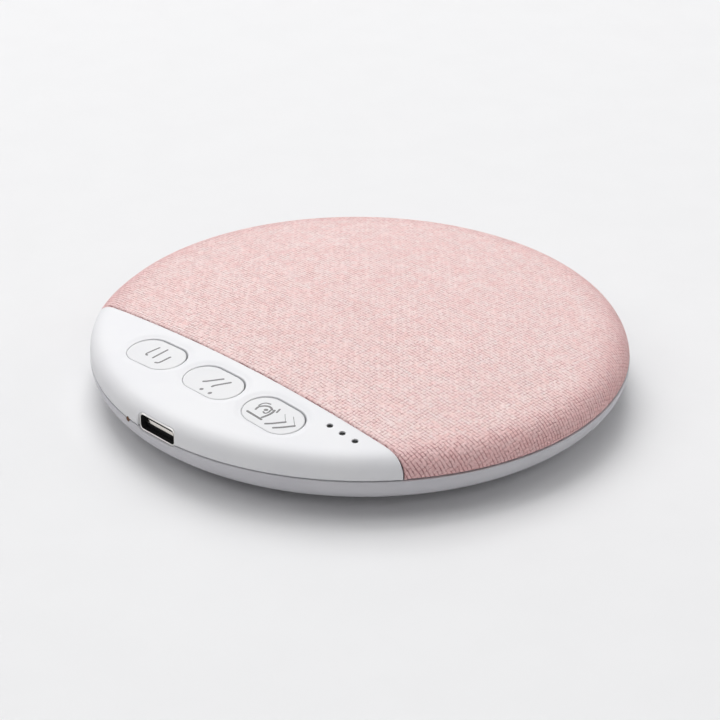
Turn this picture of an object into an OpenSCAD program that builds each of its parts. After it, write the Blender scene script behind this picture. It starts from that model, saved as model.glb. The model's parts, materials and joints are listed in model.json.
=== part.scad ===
// Pillow speaker: a flat round case with a cloth top, three keys and a charging port.
// Millimetres. +Z is up and the origin is the centre of the face it stands on.
// The control panel is at the front, towards -Y, and the keys lie in a row along X.

/* [Case] */
// Diameter of the case at its widest line
case_d = 100; // [97:0.5:112]
// Height of the widest line above the bare underside
base_h = 7; // [6.6:0.1:9]
// Height of the dome above the widest line
dome_h = 7.9; // [7.4:0.1:10]
// Radius of the dome's rounded rim
shoulder_r = 5; // [4.8:0.1:5.6]
// How far the rounding under the case reaches in from the rim
base_round = 14; // [12:0.5:16]
// Thickness of the plastic walls
wall = 1.7; // [1.4:0.1:1.9]
// Height of the parting line above the widest line
parting_rise = 0.3; // [0.3:0.1:0.8]
// Open groove along the parting line
parting_gap = 0.25; // [0.1:0.05:0.4]
// How far the locating lip of the upper half reaches into the lower half
lip_drop = 0.9; // [0.8:0.1:1.6]
// Thickness of that lip
lip_t = 1.2; // [0.8:0.1:1.4]
// Clearance of the lip inside the lower half's wall
lip_gap = 0.2; // [0.1:0.05:0.3]

/* [Cloth and grille] */
// Depth of the bare panel from the rim to the straight seam
panel_depth = 20.8; // [20:0.1:22]
// Open seam between the panel and the cloth
seam_gap = 0.2; // [0.1:0.05:0.4]
// Thickness of the wall in front of the seam
seam_wall = 1.2; // [1:0.1:1.3]
// Thickness of the cloth with its backing
cloth_t = 0.9; // [0.5:0.1:1.1]
// Thickness of the grille plate under the cloth
grille_t = 1.2; // [0.9:0.1:1.3]
// Diameter of a sound hole in the grille plate
grille_hole_d = 2.2; // [1.6:0.1:2.6]
// Distance between neighbouring sound holes
grille_pitch = 3.8; // [3.4:0.1:5]
// Glue line between parts that are bonded together
bond = 0.05; // [0.02:0.01:0.1]

/* [Keys] */
// Length of a key's opening
key_l = 12.7; // [11:0.1:13.5]
// Width of a key's opening
key_w = 8.1; // [7:0.1:8.6]
// Distance between neighbouring keys
key_pitch = 15.4; // [15.2:0.1:16.5]
// Distance of the key row in front of the seam
key_row = 7; // [6.6:0.1:7.4]
// Gap around a key in its opening
key_gap = 0.22; // [0.15:0.01:0.3]
// How far a key's flange reaches under the panel
key_flange = 0.8; // [0.6:0.1:0.9]
// Thickness of that flange
key_flange_t = 0.8; // [0.6:0.1:1]
// Travel of a key
key_travel = 0.3; // [0.2:0.05:0.4]

/* [Switches] */
// Side of a switch body
switch_w = 5.2; // [4.5:0.1:6]
// Height of a switch body
switch_h = 1; // [0.8:0.1:1.2]
// Diameter of a switch plunger
plunger_d = 2.5; // [2:0.1:3]
// How far a plunger stands out of its body
plunger_rise = 0.5; // [0.4:0.05:0.6]

/* [Indicators] */
// Diameter of an indicator hole
dot_d = 1; // [0.7:0.1:1.3]
// Distance between neighbouring indicator holes
dot_pitch = 3.05; // [2.6:0.05:3.1]
// Distance of the middle indicator hole from the middle of its nearest key
dot_offset = 12.45; // [11.5:0.05:12.6]
// Distance of the indicator holes in front of the seam
dot_row = 2.7; // [2.5:0.1:3.2]
// Diameter of the hole beside the charging port
pin_d = 0.9; // [0.6:0.1:1.2]
// Distance of that hole from the middle of the port
pin_offset = 8; // [7:0.1:10]

/* [Charging port] */
// Outer width of the port's metal shell
port_w = 8.94; // [8.9:0.01:9]
// Outer height of the port's metal shell
port_h = 3.26; // [3.2:0.01:3.3]
// Length of the port's metal shell
port_l = 6.8; // [6.4:0.1:7]
// Thickness of the port's metal shell
port_wall = 0.3; // [0.2:0.05:0.35]
// Height of the port's middle above the parting line
port_rise = 1.2; // [1:0.05:1.5]
// Depth of the port's mouth behind the widest line
port_set_back = 0.8; // [0.8:0.1:1.5]
// Clearance around the port in the case
port_gap = 0.2; // [0.15:0.05:0.3]
// Thickness of the tongue in the port
tongue_t = 0.7; // [0.6:0.05:0.8]

/* [Board] */
// Thickness of the circuit board
board_t = 1; // [0.8:0.1:1.2]
// Half the width of the circuit board
board_half_w = 32; // [31.6:0.1:32.4]
// Distance from the centre of the case to the board's straight rear edge
board_back = 11; // [9:0.5:12]
// Clearance between the board's round edge and the locating lip
board_gap = 0.6; // [0.4:0.1:1]
// Outer diameter of a post under the board
post_d = 4.4; // [4:0.1:5]

/* [Battery] */
// Length of the battery across the case
battery_l = 32; // [24:0.5:34]
// Width of the battery from front to back
battery_w = 22; // [16:0.5:23]
// Thickness of the battery
battery_t = 2.8; // [2:0.1:3.2]
// Thickness of the pad under the battery
pad_t = 0.3; // [0.2:0.05:0.5]
// Outside diameter of the battery and driver leads
lead_d = 0.9; // [0.7:0.1:1.1]

/* [Driver] */
// Diameter of the loudspeaker driver
driver_d = 40; // [36:0.5:41]
// Distance of the driver's axis behind the centre of the case
driver_back = 10; // [9:0.5:11]
// Depth of the driver from its flange to its back
driver_depth = 5.2; // [4.9:0.1:5.8]
// Thickness of the driver's frame
frame_t = 1; // [0.8:0.1:1.1]
// Width of the driver's flange
flange_w = 3.4; // [3:0.1:4]
// Diameter of the driver's yoke
yoke_d = 19; // [18:0.5:21]
// Gap between the voice coil and the metal on both sides of it
coil_gap = 0.45; // [0.35:0.05:0.6]
// Thickness of the voice coil
coil_t = 0.6; // [0.4:0.05:0.7]
// Thickness of the cone
cone_t = 0.35; // [0.25:0.05:0.5]
// Thickness of the rubber surround
surround_t = 0.3; // [0.2:0.05:0.4]
// Thickness of the gasket on the flange
gasket_t = 0.5; // [0.4:0.1:0.7]
// Greatest travel of the cone each way
cone_travel = 0.6; // [0.4:0.05:0.7]

/* [Screws and foot] */
// Diameter of the screws
screw_d = 2; // [1.6:0.1:2.3]
// Diameter of the screw heads
head_d = 3.8; // [3.2:0.1:4]
// Height of the screw heads
head_h = 1.3; // [1:0.1:1.5]
// Distance of the case screws in from the rim
screw_inset = 13.5; // [13:0.1:14]
// Outer diameter of a boss around a case screw
boss_d = 5.4; // [5:0.1:5.6]
// Depth to which a case screw bites into the upper half
screw_bite = 4; // [3:0.1:4.5]
// Clearance between a screw and its hole
screw_gap = 0.1; // [0.05:0.01:0.2]
// Thickness of the rubber foot ring
foot_t = 1.2; // [0.9:0.1:1.4]
// How far the foot ring stands out of the flat underside
foot_proud = 0.4; // [0.2:0.1:0.6]
// Rubber on each side of a screw head
foot_margin = 1.1; // [0.8:0.1:1.5]

/* [Hidden] */
$fn = 96;

// Heights and radii of the case
case_r = case_d / 2;
chord = case_r - panel_depth;
widest_z = foot_proud + base_h;
parting_z = widest_z + parting_rise;
floor_z = foot_proud + wall;
rim_r = case_r - shoulder_r;
cap_r = (rim_r * rim_r + dome_h * dome_h - shoulder_r * shoulder_r) / (2 * (dome_h - shoulder_r));
cap_z = widest_z + dome_h - cap_r;
cap_angle = atan(rim_r / (widest_z - cap_z));
// Least radius left in a rounded inner rim
least_round = parting_rise + 0.2;
cap_steps = 8;
rim_steps = 10;
base_steps = 12;
// Larger than the whole case, for cutting it
span = 2 * case_d;
// How far a cut runs past what it cuts
cut_over = 1;

// Depths under the outer face at which the layers of the top lie
roof_depth = cloth_t + grille_t + 2 * bond;
roof_under = roof_depth + wall;

// Keys and the panel in front of the seam
key_y = -chord - key_row;
key_seat = 0.1;
key_depth = wall + key_seat + key_flange_t;
stem_margin = 0.5;
// How far a plunger stands in its switch at rest, and its clearance there
plunger_sink = 0.2;
well_gap = 0.15;
dot_y = -chord - dot_row;
dot_x = key_pitch + dot_offset;

// Port and board
port_z = parting_z + port_rise;
port_y = -(case_r - port_set_back);
port_back_y = port_y + port_l;
tongue_recess = 0.9;
tongue_inset = 0.85;
insulator_l = 1.2;
board_top = port_z - port_h / 2;
board_under = board_top - board_t;
lip_in = case_r - wall - lip_gap - lip_t;
board_r = lip_in - board_gap;
// Places of the board's posts: beside the outer keys, and in from the board's rear corners
front_post_step = 8.1;
rear_post_edge = 3;
rear_post_step = 5.5;
board_screws_at = [
  for (side = [-1, 1]) each [
    [side * (key_pitch + front_post_step), key_y],
    [side * (board_half_w - rear_post_edge), -board_back - rear_post_step]
  ]
];
board_screw_l = 4;

// Battery, with its rear edge a fixed step behind the board's rear edge
battery_step = 1;
battery_y = -board_back + battery_step - battery_w / 2;
battery_z = floor_z + pad_t;
terrace_l = 3;
rail_t = 1.2;
rail_h = 2;
rail_gap = 0.4;
rail_short = 6;
// How deep a rail is rooted in the floor
rail_root = 0.4;

// Case screws: two beside the board and two behind the driver
screw_ring = case_r - screw_inset;
front_screw_angle = 76;
rear_screw_angle = 126;
case_screws_at = [
  for (side = [-1, 1], a = [front_screw_angle, rear_screw_angle])
    [side * screw_ring * sin(a), -screw_ring * cos(a)]
];
// Depth under the widest line at which the bosses of the two halves meet
clamp_drop = 2.4;
clamp_z = widest_z - clamp_drop;
head_sink = 0.1;
head_seat_z = foot_t + head_h + head_sink;
head_gap = 0.3;
pilot_end = 0.4;

// Foot ring around the case screws
foot_w = head_d + 2 * head_gap + 2 * foot_margin;
foot_in = screw_ring - foot_w / 2;
foot_out = screw_ring + foot_w / 2;
foot_gap = 0.1;

// Driver, hung from a flat seat under the roof
driver_r = driver_d / 2;
seat_margin = 1;
seat_r = driver_r + seat_margin;
seat_drop = 0.15;
seat_z = cap_height(driver_back + seat_r, roof_under) - seat_drop;
flange_z = seat_z - gasket_t - surround_t;
basket_r = driver_r - flange_w;
opening_margin = 1;
opening_r = basket_r + opening_margin;
yoke_drop = 1.6;
frame_floor_z = flange_z - driver_depth + yoke_drop;
yoke_r = yoke_d / 2;
yoke_step = 0.5;
yoke_t = 1;
yoke_wall = 1.3;
yoke_z = flange_z - driver_depth;
run_gap = 0.3;
cone_drop = 1;
yoke_top = flange_z - cone_drop - cone_t - cone_travel - run_gap;
yoke_bore = yoke_r - yoke_step - yoke_wall;
coil_out = yoke_bore - coil_gap;
coil_in = coil_out - coil_t;
plate_r = coil_in - coil_gap;
plate_t = 0.8;
magnet_inset = 0.3;
coil_low = yoke_z + yoke_t + cone_travel + run_gap;
coil_set_back = 0.5;
coil_top = flange_z - coil_set_back;
// Width that the surround spans inside the basket
surround_w = 1.8;
cone_r = basket_r - surround_w;
// How far the roll reaches over the flange
roll_over = 0.4;
surround_foot = 1;
roll_r = (surround_w + roll_over) / 2;
roll_r_at = cone_r + roll_r;
cap_rise = 1;
terminal_x = 12;
terminal = [4.6, 3.4, 1];
terminal_out = 2;
terminal_y = driver_back - sqrt(pow(driver_r, 2) - pow(terminal_x, 2)) - terminal_out;

// Height of the dome's cap at a radius, for a face at a depth under the outer one
function cap_height(r, depth) = cap_z + sqrt(pow(cap_r - depth, 2) - r * r);

// Points of an arc in the (radius, height) plane, with angles from straight up
function arc_line(x, z, rx, rz, from, to, steps) = [
  for (i = [0:steps])
    let (a = from + (to - from) * i / steps)
      [x + rx * sin(a), z + rz * cos(a)]
];

// Half profile of the dome at a depth under its outer face, from the top to the parting line
function dome_line(depth) =
  let (r = max(shoulder_r - depth, least_round))
    concat(
      arc_line(0, cap_z, cap_r - depth, cap_r - depth, 0, cap_angle, cap_steps),
      arc_line(rim_r, widest_z, r, r, cap_angle + 2, acos(parting_rise / r), rim_steps)
    );

// Half profile under the case at a depth inside its outer face, from the flat to the widest line
function base_line(depth) =
  arc_line(case_r - base_round, widest_z, base_round - depth, base_h - depth, 180, 90, base_steps);

// Everything under the dome at a depth, down to the ground
module under_dome(depth) {
  line = dome_line(depth);
  rotate_extrude() polygon(concat(line, [[line[len(line) - 1][0], 0], [0, 0]]));
}

// The layer of the dome between two depths, above a height
module dome_layer(outer, inner, low) {
  difference() {
    intersection() {
      under_dome(outer);
      translate([-span / 2, -span / 2, low]) cube(span);
    }
    under_dome(inner);
  }
}

// What lies further forward than a distance in front of the centre
module front_of(y) {
  intersection() {
    children();
    translate([-span / 2, -y - span, -span / 2]) cube(span);
  }
}

// What lies further back than a distance in front of the centre
module back_of(y) {
  intersection() {
    children();
    translate([-span / 2, -y, -span / 2]) cube(span);
  }
}

// Flat stadium of a length and width, long along X
module stadium(l, w) {
  union() {
    square([l - w, w], center = true);
    for (side = [-1, 1]) translate([side * (l - w) / 2, 0]) circle(d = w);
  }
}

// Upright stadium column at a key
module key_column(x, l, w) {
  translate([x, key_y, 0]) linear_extrude(span / 4) stadium(l, w);
}

// Stadium bar along Y with its middle at the port's height
module port_bar(w, h, y, l) {
  translate([0, y + l, port_z]) rotate([90, 0, 0]) linear_extrude(l) stadium(w, h);
}

// Ring between two radii and two heights
module ring(inner, outer, low, high) {
  rotate_extrude()
    polygon([[inner, low], [outer, low], [outer, high], [inner, high]]);
}

// Puts its children at each place of a list
module at_each(places, z) {
  for (p = places) translate([p[0], p[1], z]) children();
}

// Hole for the port through the walls and the lip
module port_cut() {
  port_bar(port_w + 2 * port_gap, port_h + 2 * port_gap, -case_r - cut_over,
    case_r + 2 * cut_over + port_back_y);
}

// Hole beside the port, half in each shell
module pin_cut() {
  translate([-pin_offset, -case_r - cut_over, parting_z])
    rotate([-90, 0, 0]) cylinder(d = pin_d, h = case_r - lip_in + 2 * cut_over);
}

// Everything inside the lower half at a depth under its outer face, up to a height
module in_base(depth, top) {
  rotate_extrude()
    polygon(concat([[0, foot_proud + depth]], base_line(depth), [[case_r - depth, top], [0, top]]));
}

// Solid of the lower half, before it is hollowed, with the dome's rounding up to the parting line
module base_solid() {
  intersection() {
    in_base(0, widest_z + shoulder_r);
    under_dome(0);
    translate([-span / 2, -span / 2, parting_z - span]) cube(span);
  }
}

// White lower half of the case, with posts for the board and the case screws
module bottom_shell() {
  color("whitesmoke") difference() {
    union() {
      difference() {
        base_solid();
        in_base(wall, parting_z + cut_over);
      }
      intersection() {
        in_base(wall / 2, parting_z);
        union() {
          at_each(case_screws_at, 0) cylinder(d = boss_d, h = clamp_z);
          at_each(board_screws_at, 0) cylinder(d = post_d, h = board_under);
        }
      }
      for (side = [-1, 1])
        translate([side * (battery_l / 2 + rail_gap + rail_t / 2), battery_y, floor_z + rail_h / 2])
          cube([rail_t, battery_w - rail_short, rail_h + 2 * rail_root], center = true);
    }
    ring(foot_in - foot_gap, foot_out + foot_gap, -cut_over, foot_t);
    at_each(case_screws_at, 0) cylinder(d = head_d + 2 * head_gap, h = head_seat_z);
    at_each(case_screws_at, 0) cylinder(d = screw_d + 2 * screw_gap, h = clamp_z + cut_over);
    at_each(board_screws_at, board_under - board_screw_l + board_t - pilot_end)
      cylinder(d = screw_d + 2 * screw_gap, h = board_screw_l + cut_over);
    port_cut();
    pin_cut();
  }
}

// Locating lip of the upper half: inside the lower wall, and on its rim under the panel
module locating_lip() {
  rise = 0.8;
  seat = 0.5;
  lip_out = case_r - wall - lip_gap;
  ring(lip_in, lip_out, parting_z - lip_drop, parting_z);
  front_of(chord) ring(lip_in, case_r - wall + seat, parting_z, parting_z + rise);
  intersection() {
    ring(lip_in, lip_out, parting_z - lip_drop / 2, parting_z + rise);
    under_dome(roof_depth);
  }
}

// White upper half: bare panel in front of the seam, and a lower roof behind it for the cloth
module top_shell() {
  color("white") difference() {
    union() {
      front_of(chord) dome_layer(0, wall, parting_z + parting_gap);
      back_of(chord + seam_wall) front_of(chord) dome_layer(0, roof_under, parting_z + parting_gap);
      back_of(chord + seam_wall / 2) dome_layer(roof_depth, roof_under, parting_z);
      locating_lip();
      intersection() {
        union() {
          at_each(case_screws_at, clamp_z) cylinder(d = boss_d, h = span / 4);
          translate([0, driver_back, seat_z]) cylinder(r = seat_r, h = span / 4);
        }
        under_dome(roof_depth + wall / 2);
      }
    }
    for (i = [-1:1]) key_column(i * key_pitch, key_l, key_w);
    for (i = [-1:1]) translate([dot_x + i * dot_pitch, dot_y, 0]) cylinder(d = dot_d, h = span / 4);
    translate([0, driver_back, 0]) cylinder(r = opening_r, h = span / 4);
    at_each(case_screws_at, 0)
      cylinder(d = screw_d + 2 * screw_gap, h = clamp_z + screw_bite + pilot_end);
    port_cut();
    pin_cut();
  }
}

// Perforated carrier that the cloth is stretched over
module grille_plate() {
  depth = cloth_t + bond;
  rows = floor((opening_r - grille_hole_d) / grille_pitch);
  color("dimgray") difference() {
    back_of(chord - seam_gap - depth)
      dome_layer(depth, depth + grille_t, parting_z + parting_gap + depth);
    for (n = [0:rows], i = [0:max(6 * n, 1) - 1]) {
      a = 360 * i / max(6 * n, 1);
      translate([n * grille_pitch * cos(a), driver_back + n * grille_pitch * sin(a), 0])
        cylinder(d = grille_hole_d, h = span / 4);
    }
  }
}

// Pink cloth, folded round the edge of its carrier along the seam and at the rim
module cloth_cover() {
  low = parting_z + parting_gap;
  color("lightpink") difference() {
    back_of(chord - seam_gap) dome_layer(0, cloth_t + grille_t + bond, low);
    back_of(chord - seam_gap - cloth_t)
      dome_layer(cloth_t, roof_depth, low + cloth_t);
  }
}

// Rubber ring that it stands on, over the case screws
module foot_ring() {
  color("gainsboro") ring(foot_in, foot_out, 0, foot_t);
}

// Cross-slotted screw with its head's underside at the origin and its shank along +Z
module screw(l) {
  slot = [head_d * 0.6, head_d * 0.15, head_h];
  difference() {
    union() {
      translate([0, 0, -head_h]) cylinder(d = head_d, h = head_h);
      cylinder(d = screw_d, h = l);
    }
    for (a = [0, 90]) translate([0, 0, -head_h]) rotate(a) cube(slot, center = true);
  }
}

// Screws that hold the two halves of the case together
module case_screws() {
  color("silver") at_each(case_screws_at, head_seat_z) screw(clamp_z + screw_bite - head_seat_z);
}

// Screws that hold the board on its posts
module board_screws() {
  color("silver") at_each(board_screws_at, board_top) rotate([180, 0, 0]) screw(board_screw_l);
}

// Key cap flush with the panel, with a flange under its opening and a stem on its switch
module key_cap(i) {
  x = i * key_pitch;
  stem_z = board_top + switch_h + plunger_rise;
  color("white") union() {
    intersection() {
      key_column(x, key_l - 2 * key_gap, key_w - 2 * key_gap);
      dome_layer(0, key_depth, stem_z);
    }
    intersection() {
      key_column(x, key_l + 2 * key_flange, key_w + 2 * key_flange);
      dome_layer(wall + key_seat, key_depth, stem_z);
    }
    intersection() {
      translate([x, key_y, stem_z]) cylinder(d = plunger_d + 2 * stem_margin, h = span / 4);
      under_dome(key_depth - key_flange_t / 2);
    }
  }
}

// Low key switch on the board, with a blind well for its plunger
module switch_body(i) {
  color("dimgray") translate([i * key_pitch, key_y, board_top]) difference() {
    translate([-switch_w / 2, -switch_w / 2, 0]) cube([switch_w, switch_w, switch_h]);
    translate([0, 0, switch_h - plunger_sink - key_travel - well_gap])
      cylinder(d = plunger_d + 2 * well_gap, h = switch_h);
  }
}

// Plunger that stands in its switch and carries the key
module switch_plunger(i) {
  translate([i * key_pitch, key_y, board_top + switch_h - plunger_sink])
    color("black") cylinder(d = plunger_d, h = plunger_rise + plunger_sink);
}

// Circuit board with a round front edge
module main_board() {
  color("seagreen") translate([0, 0, board_under]) linear_extrude(board_t) difference() {
    intersection() {
      circle(r = board_r);
      translate([-board_half_w, -board_r]) square([2 * board_half_w, board_r - board_back]);
    }
    for (p = board_screws_at) translate(p) circle(d = screw_d + 2 * screw_gap);
  }
}

// Packages on top of the board: place from the board's rear edge, then size
module board_chips() {
  chips = [
    [0, 9, 6, 6, 0.9], [-14, 8, 3, 3, 0.8], [13, 9, 2.9, 1.6, 1.1], [20, 10, 4, 4, 1.8],
    [-21, 12, 5, 4, 0.9], [-6, 12, 1.6, 0.8, 0.8], [7, 5, 1.6, 0.8, 0.8], [-8, 5, 3.2, 1.5, 0.7]
  ];
  color("darkslategray") for (c = chips)
    translate([c[0] - c[2] / 2, -board_back - c[1] - c[3] / 2, board_top]) cube([c[2], c[3], c[4]]);
}

// Lamps under the indicator holes
module status_leds() {
  led = [1, 0.6, 0.4];
  color("ivory") for (i = [-1:1])
    translate([dot_x + i * dot_pitch - led[0] / 2, dot_y - led[1] / 2, board_top]) cube(led);
}

// Lamp behind the hole beside the port
module charge_led() {
  led = [1.6, 1, 0.8];
  edge_gap = 0.3;
  edge = sqrt(board_r * board_r - pow(pin_offset + led[0], 2));
  color("ivory") translate([-pin_offset - led[0] / 2, -edge + edge_gap, board_top]) cube(led);
}

// Dark block that keeps the light of the indicator lamps apart
module light_baffle() {
  bore = 1.7;
  side = 2 * (dot_row - seam_wall - seam_gap);
  color("black") difference() {
    intersection() {
      translate([dot_x - dot_pitch - side / 2, dot_y - side / 2, board_top])
        cube([2 * dot_pitch + side, side, span / 4]);
      cylinder(r = board_r, h = span / 4);
      under_dome(wall + key_seat);
    }
    for (i = [-1:1]) translate([dot_x + i * dot_pitch, dot_y, 0]) cylinder(d = bore, h = span / 4);
  }
}

// Metal shell of the charging port, closed at its back
module usb_shell() {
  color("silver") difference() {
    port_bar(port_w, port_h, port_y, port_l);
    port_bar(port_w - 2 * port_wall, port_h - 2 * port_wall, port_y - cut_over,
      port_l + cut_over - port_wall);
  }
}

// Insulator at the back of the port, with the tongue that stands out of it
module usb_tongue() {
  inner_w = port_w - 2 * port_wall;
  inner_h = port_h - 2 * port_wall;
  tongue_w = inner_w - 2 * tongue_inset;
  end_y = port_back_y - port_wall;
  color("lightgray") union() {
    port_bar(inner_w - 2 * bond, inner_h - 2 * bond, end_y - insulator_l, insulator_l);
    translate([-tongue_w / 2, port_y + tongue_recess, port_z - tongue_t / 2])
      cube([tongue_w, end_y - port_y - tongue_recess - insulator_l / 2, tongue_t]);
  }
}

// Contact strips on both faces of the tongue
module usb_contacts() {
  strip = [0.25, 3, 0.06];
  pitch = 0.5;
  count = 12;
  set_back = 0.5;
  color("gold") for (i = [0:count - 1], face = [-1, 1])
    translate([(i - (count - 1) / 2) * pitch, port_y + tongue_recess + set_back + strip[1] / 2, port_z])
      translate([0, 0, face * (tongue_t + strip[2]) / 2]) cube(strip, center = true);
}

// Flat battery with the thin sealed terrace that its leads come out of
module battery_cell() {
  corner = 2;
  seal_t = 0.2;
  color("silver") translate([0, battery_y, battery_z]) union() {
    translate([0, -terrace_l / 2, 0]) linear_extrude(battery_t) union() {
      square([battery_l - 2 * corner, battery_w - terrace_l], center = true);
      square([battery_l, battery_w - terrace_l - 2 * corner], center = true);
      for (sx = [-1, 1], sy = [-1, 1])
        translate([sx * (battery_l / 2 - corner), sy * ((battery_w - terrace_l) / 2 - corner)])
          circle(r = corner);
    }
    translate([0, battery_w / 2 - terrace_l, battery_t / 2])
      cube([battery_l - 2 * corner, 2 * terrace_l, lead_d + 2 * seal_t], center = true);
  }
}

// Sticky pad under the battery
module battery_pad() {
  inset = 2.5;
  color("khaki") translate([0, battery_y - terrace_l / 2, floor_z + pad_t / 2])
    cube([battery_l - 2 * inset, battery_w - terrace_l - 2 * inset, pad_t], center = true);
}

// Point of a smooth curve through a list, between two of its points
function curve_point(p, i, t) =
  let (last = len(p) - 1, a = p[max(i - 1, 0)], b = p[i], c = p[i + 1], d = p[min(i + 2, last)])
    (2 * b + (c - a) * t + (2 * a - 5 * b + 4 * c - d) * t * t + (3 * b - a - 3 * c + d) * t * t * t) / 2;

// Direction of a lead at a point of its path: its ends run square to what they meet
function lead_way(route, path, i) =
  let (n = len(path), last = len(route) - 1)
    i == 0 ? route[1] - route[0]
    : i == n - 1 ? route[last] - route[last - 1]
    : path[i + 1] - path[i - 1];

// Round lead in an upright plane at x, along a smooth curve through (y, z) points
module lead(x, route) {
  sides = 8;
  steps = 4;
  path = concat(
    [for (i = [0:len(route) - 2], k = [0:steps - 1]) curve_point(route, i, k / steps)],
    [route[len(route) - 1]]
  );
  n = len(path);
  points = [
    for (i = [0:n - 1])
      let (way = lead_way(route, path, i), side = [-way[1], way[0]] / norm(way))
        for (k = [0:sides - 1])
          let (a = 360 * k / sides, out = path[i] + side * (lead_d / 2) * sin(a))
            [x + lead_d / 2 * cos(a), out[0], out[1]]
  ];
  faces = concat(
    [for (i = [0:n - 2], k = [0:sides - 1])
      let (m = (k + 1) % sides)
        [i * sides + k, i * sides + m, (i + 1) * sides + m, (i + 1) * sides + k]],
    [[for (k = [sides - 1:-1:0]) k]],
    [[for (k = [0:sides - 1]) (n - 1) * sides + k]]
  );
  polyhedron(points, faces);
}

// Leads from the battery round the board's rear edge to its upper face
module battery_leads() {
  y = battery_y + battery_w / 2;
  z = battery_z + battery_t / 2;
  pad_in = 1.6;
  pad_y = -board_back - pad_in;
  first = 3;
  step = 2.5;
  route = [
    [y, z], [y + 0.9, z], [y + 1.9, (z + board_top) / 2], [y + 1.4, board_top + 0.6],
    [-board_back, board_top + 1.4], [pad_y, board_top + 0.8], [pad_y, board_top]
  ];
  colors = ["red", "black"];
  for (i = [0, 1]) color(colors[i]) lead(-battery_l / 2 + first + step * i, route);
}

// Loudspeaker basket: flange, wall and a floor with windows
module driver_frame() {
  window = [20, 70];
  web = 1;
  color("dimgray") translate([0, driver_back, 0]) difference() {
    rotate_extrude() polygon([
      [yoke_r - yoke_step + bond, frame_floor_z], [basket_r, frame_floor_z],
      [basket_r, flange_z - frame_t], [driver_r, flange_z - frame_t], [driver_r, flange_z],
      [basket_r - frame_t, flange_z], [basket_r - frame_t, frame_floor_z + frame_t],
      [yoke_r - yoke_step + bond, frame_floor_z + frame_t]
    ]);
    for (a = [0:90:270])
      rotate(a + window[0]) rotate_extrude(angle = window[1] - window[0])
        translate([yoke_r + web, frame_floor_z - cut_over])
          square([basket_r - frame_t - yoke_r - 2 * web, frame_t + 2 * cut_over]);
  }
}

// Terminal strip under the flange, where the leads are joined
module driver_terminal() {
  color("peru") translate([terminal_x - terminal[0] / 2, terminal_y, flange_z - frame_t - terminal[2]])
    cube(terminal);
}

// Steel cup around the magnet
module driver_yoke() {
  color("gray") translate([0, driver_back, 0]) rotate_extrude() polygon([
    [0, yoke_z], [yoke_r, yoke_z], [yoke_r, frame_floor_z], [yoke_r - yoke_step, frame_floor_z],
    [yoke_r - yoke_step, yoke_top], [yoke_bore, yoke_top], [yoke_bore, yoke_z + yoke_t],
    [0, yoke_z + yoke_t]
  ]);
}

// Disc magnet on the floor of the yoke
module driver_magnet() {
  low = yoke_z + yoke_t;
  color("darkgray") translate([0, driver_back, low])
    cylinder(r = plate_r - magnet_inset, h = yoke_top - plate_t - low);
}

// Steel plate on the magnet
module driver_plate() {
  color("lightgray") translate([0, driver_back, yoke_top - plate_t]) cylinder(r = plate_r, h = plate_t);
}

// Rubber half roll between the cone's rim and the flange
module driver_surround() {
  outer = arc_line(roll_r_at, flange_z, roll_r, roll_r, 90, -90, rim_steps);
  inner = arc_line(roll_r_at, flange_z, roll_r - surround_t, roll_r - surround_t, -90, 90, rim_steps);
  color("black") translate([0, driver_back, 0]) rotate_extrude() union() {
    polygon(concat(outer, inner));
    translate([cone_r - surround_foot, flange_z]) square([surround_foot + surround_t, surround_t]);
    translate([cone_r + 2 * roll_r - surround_t, flange_z])
      square([driver_r - cone_r - 2 * roll_r + surround_t, surround_t]);
  }
}

// Foam ring between the flange and its seat
module driver_gasket() {
  color("darkslategray") translate([0, driver_back, 0])
    ring(opening_r, driver_r, flange_z + surround_t, flange_z + surround_t + gasket_t);
}

// Leads from the terminal strip to the board's upper face
module driver_leads() {
  z = flange_z - frame_t - terminal[2] / 2;
  pad_in = 2.6;
  pad_y = -board_back - pad_in;
  step = 2.2;
  route = [
    [terminal_y, z], [terminal_y - 0.9, z], [-board_back, board_top + 1.4],
    [pad_y, board_top + 0.9], [pad_y, board_top]
  ];
  colors = ["orange", "black"];
  for (i = [0, 1]) color(colors[i]) lead(terminal_x + step * (i - 0.5), route);
}

// Coil on its former, in the gap round the plate
module voice_coil() {
  color("chocolate") translate([0, driver_back, 0]) ring(coil_in, coil_out, coil_low, coil_top);
}

// Shallow paper cone from the coil to the surround
module driver_cone() {
  color("gainsboro") translate([0, driver_back, 0]) rotate_extrude() polygon([
    [coil_out + bond, flange_z - cone_drop - cone_t], [coil_out + bond, flange_z - cone_drop],
    [cone_r - surround_foot, flange_z], [cone_r, flange_z], [cone_r, flange_z - cone_t],
    [cone_r - surround_foot, flange_z - cone_t]
  ]);
}

// Domed cap on the end of the coil's former
module dust_cap() {
  round_r = (coil_out * coil_out + cap_rise * cap_rise) / (2 * cap_rise);
  round_z = coil_top + cap_rise - round_r;
  half = asin(coil_out / round_r);
  inner_r = round_r - cone_t;
  inner_half = asin(coil_in / inner_r);
  color("dimgray") translate([0, driver_back, 0]) rotate_extrude() polygon(concat(
    arc_line(0, round_z, round_r, round_r, 0, half, cap_steps),
    [[coil_in, coil_top]],
    arc_line(0, round_z, inner_r, inner_r, inner_half, 0, cap_steps)
  ));
}

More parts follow.
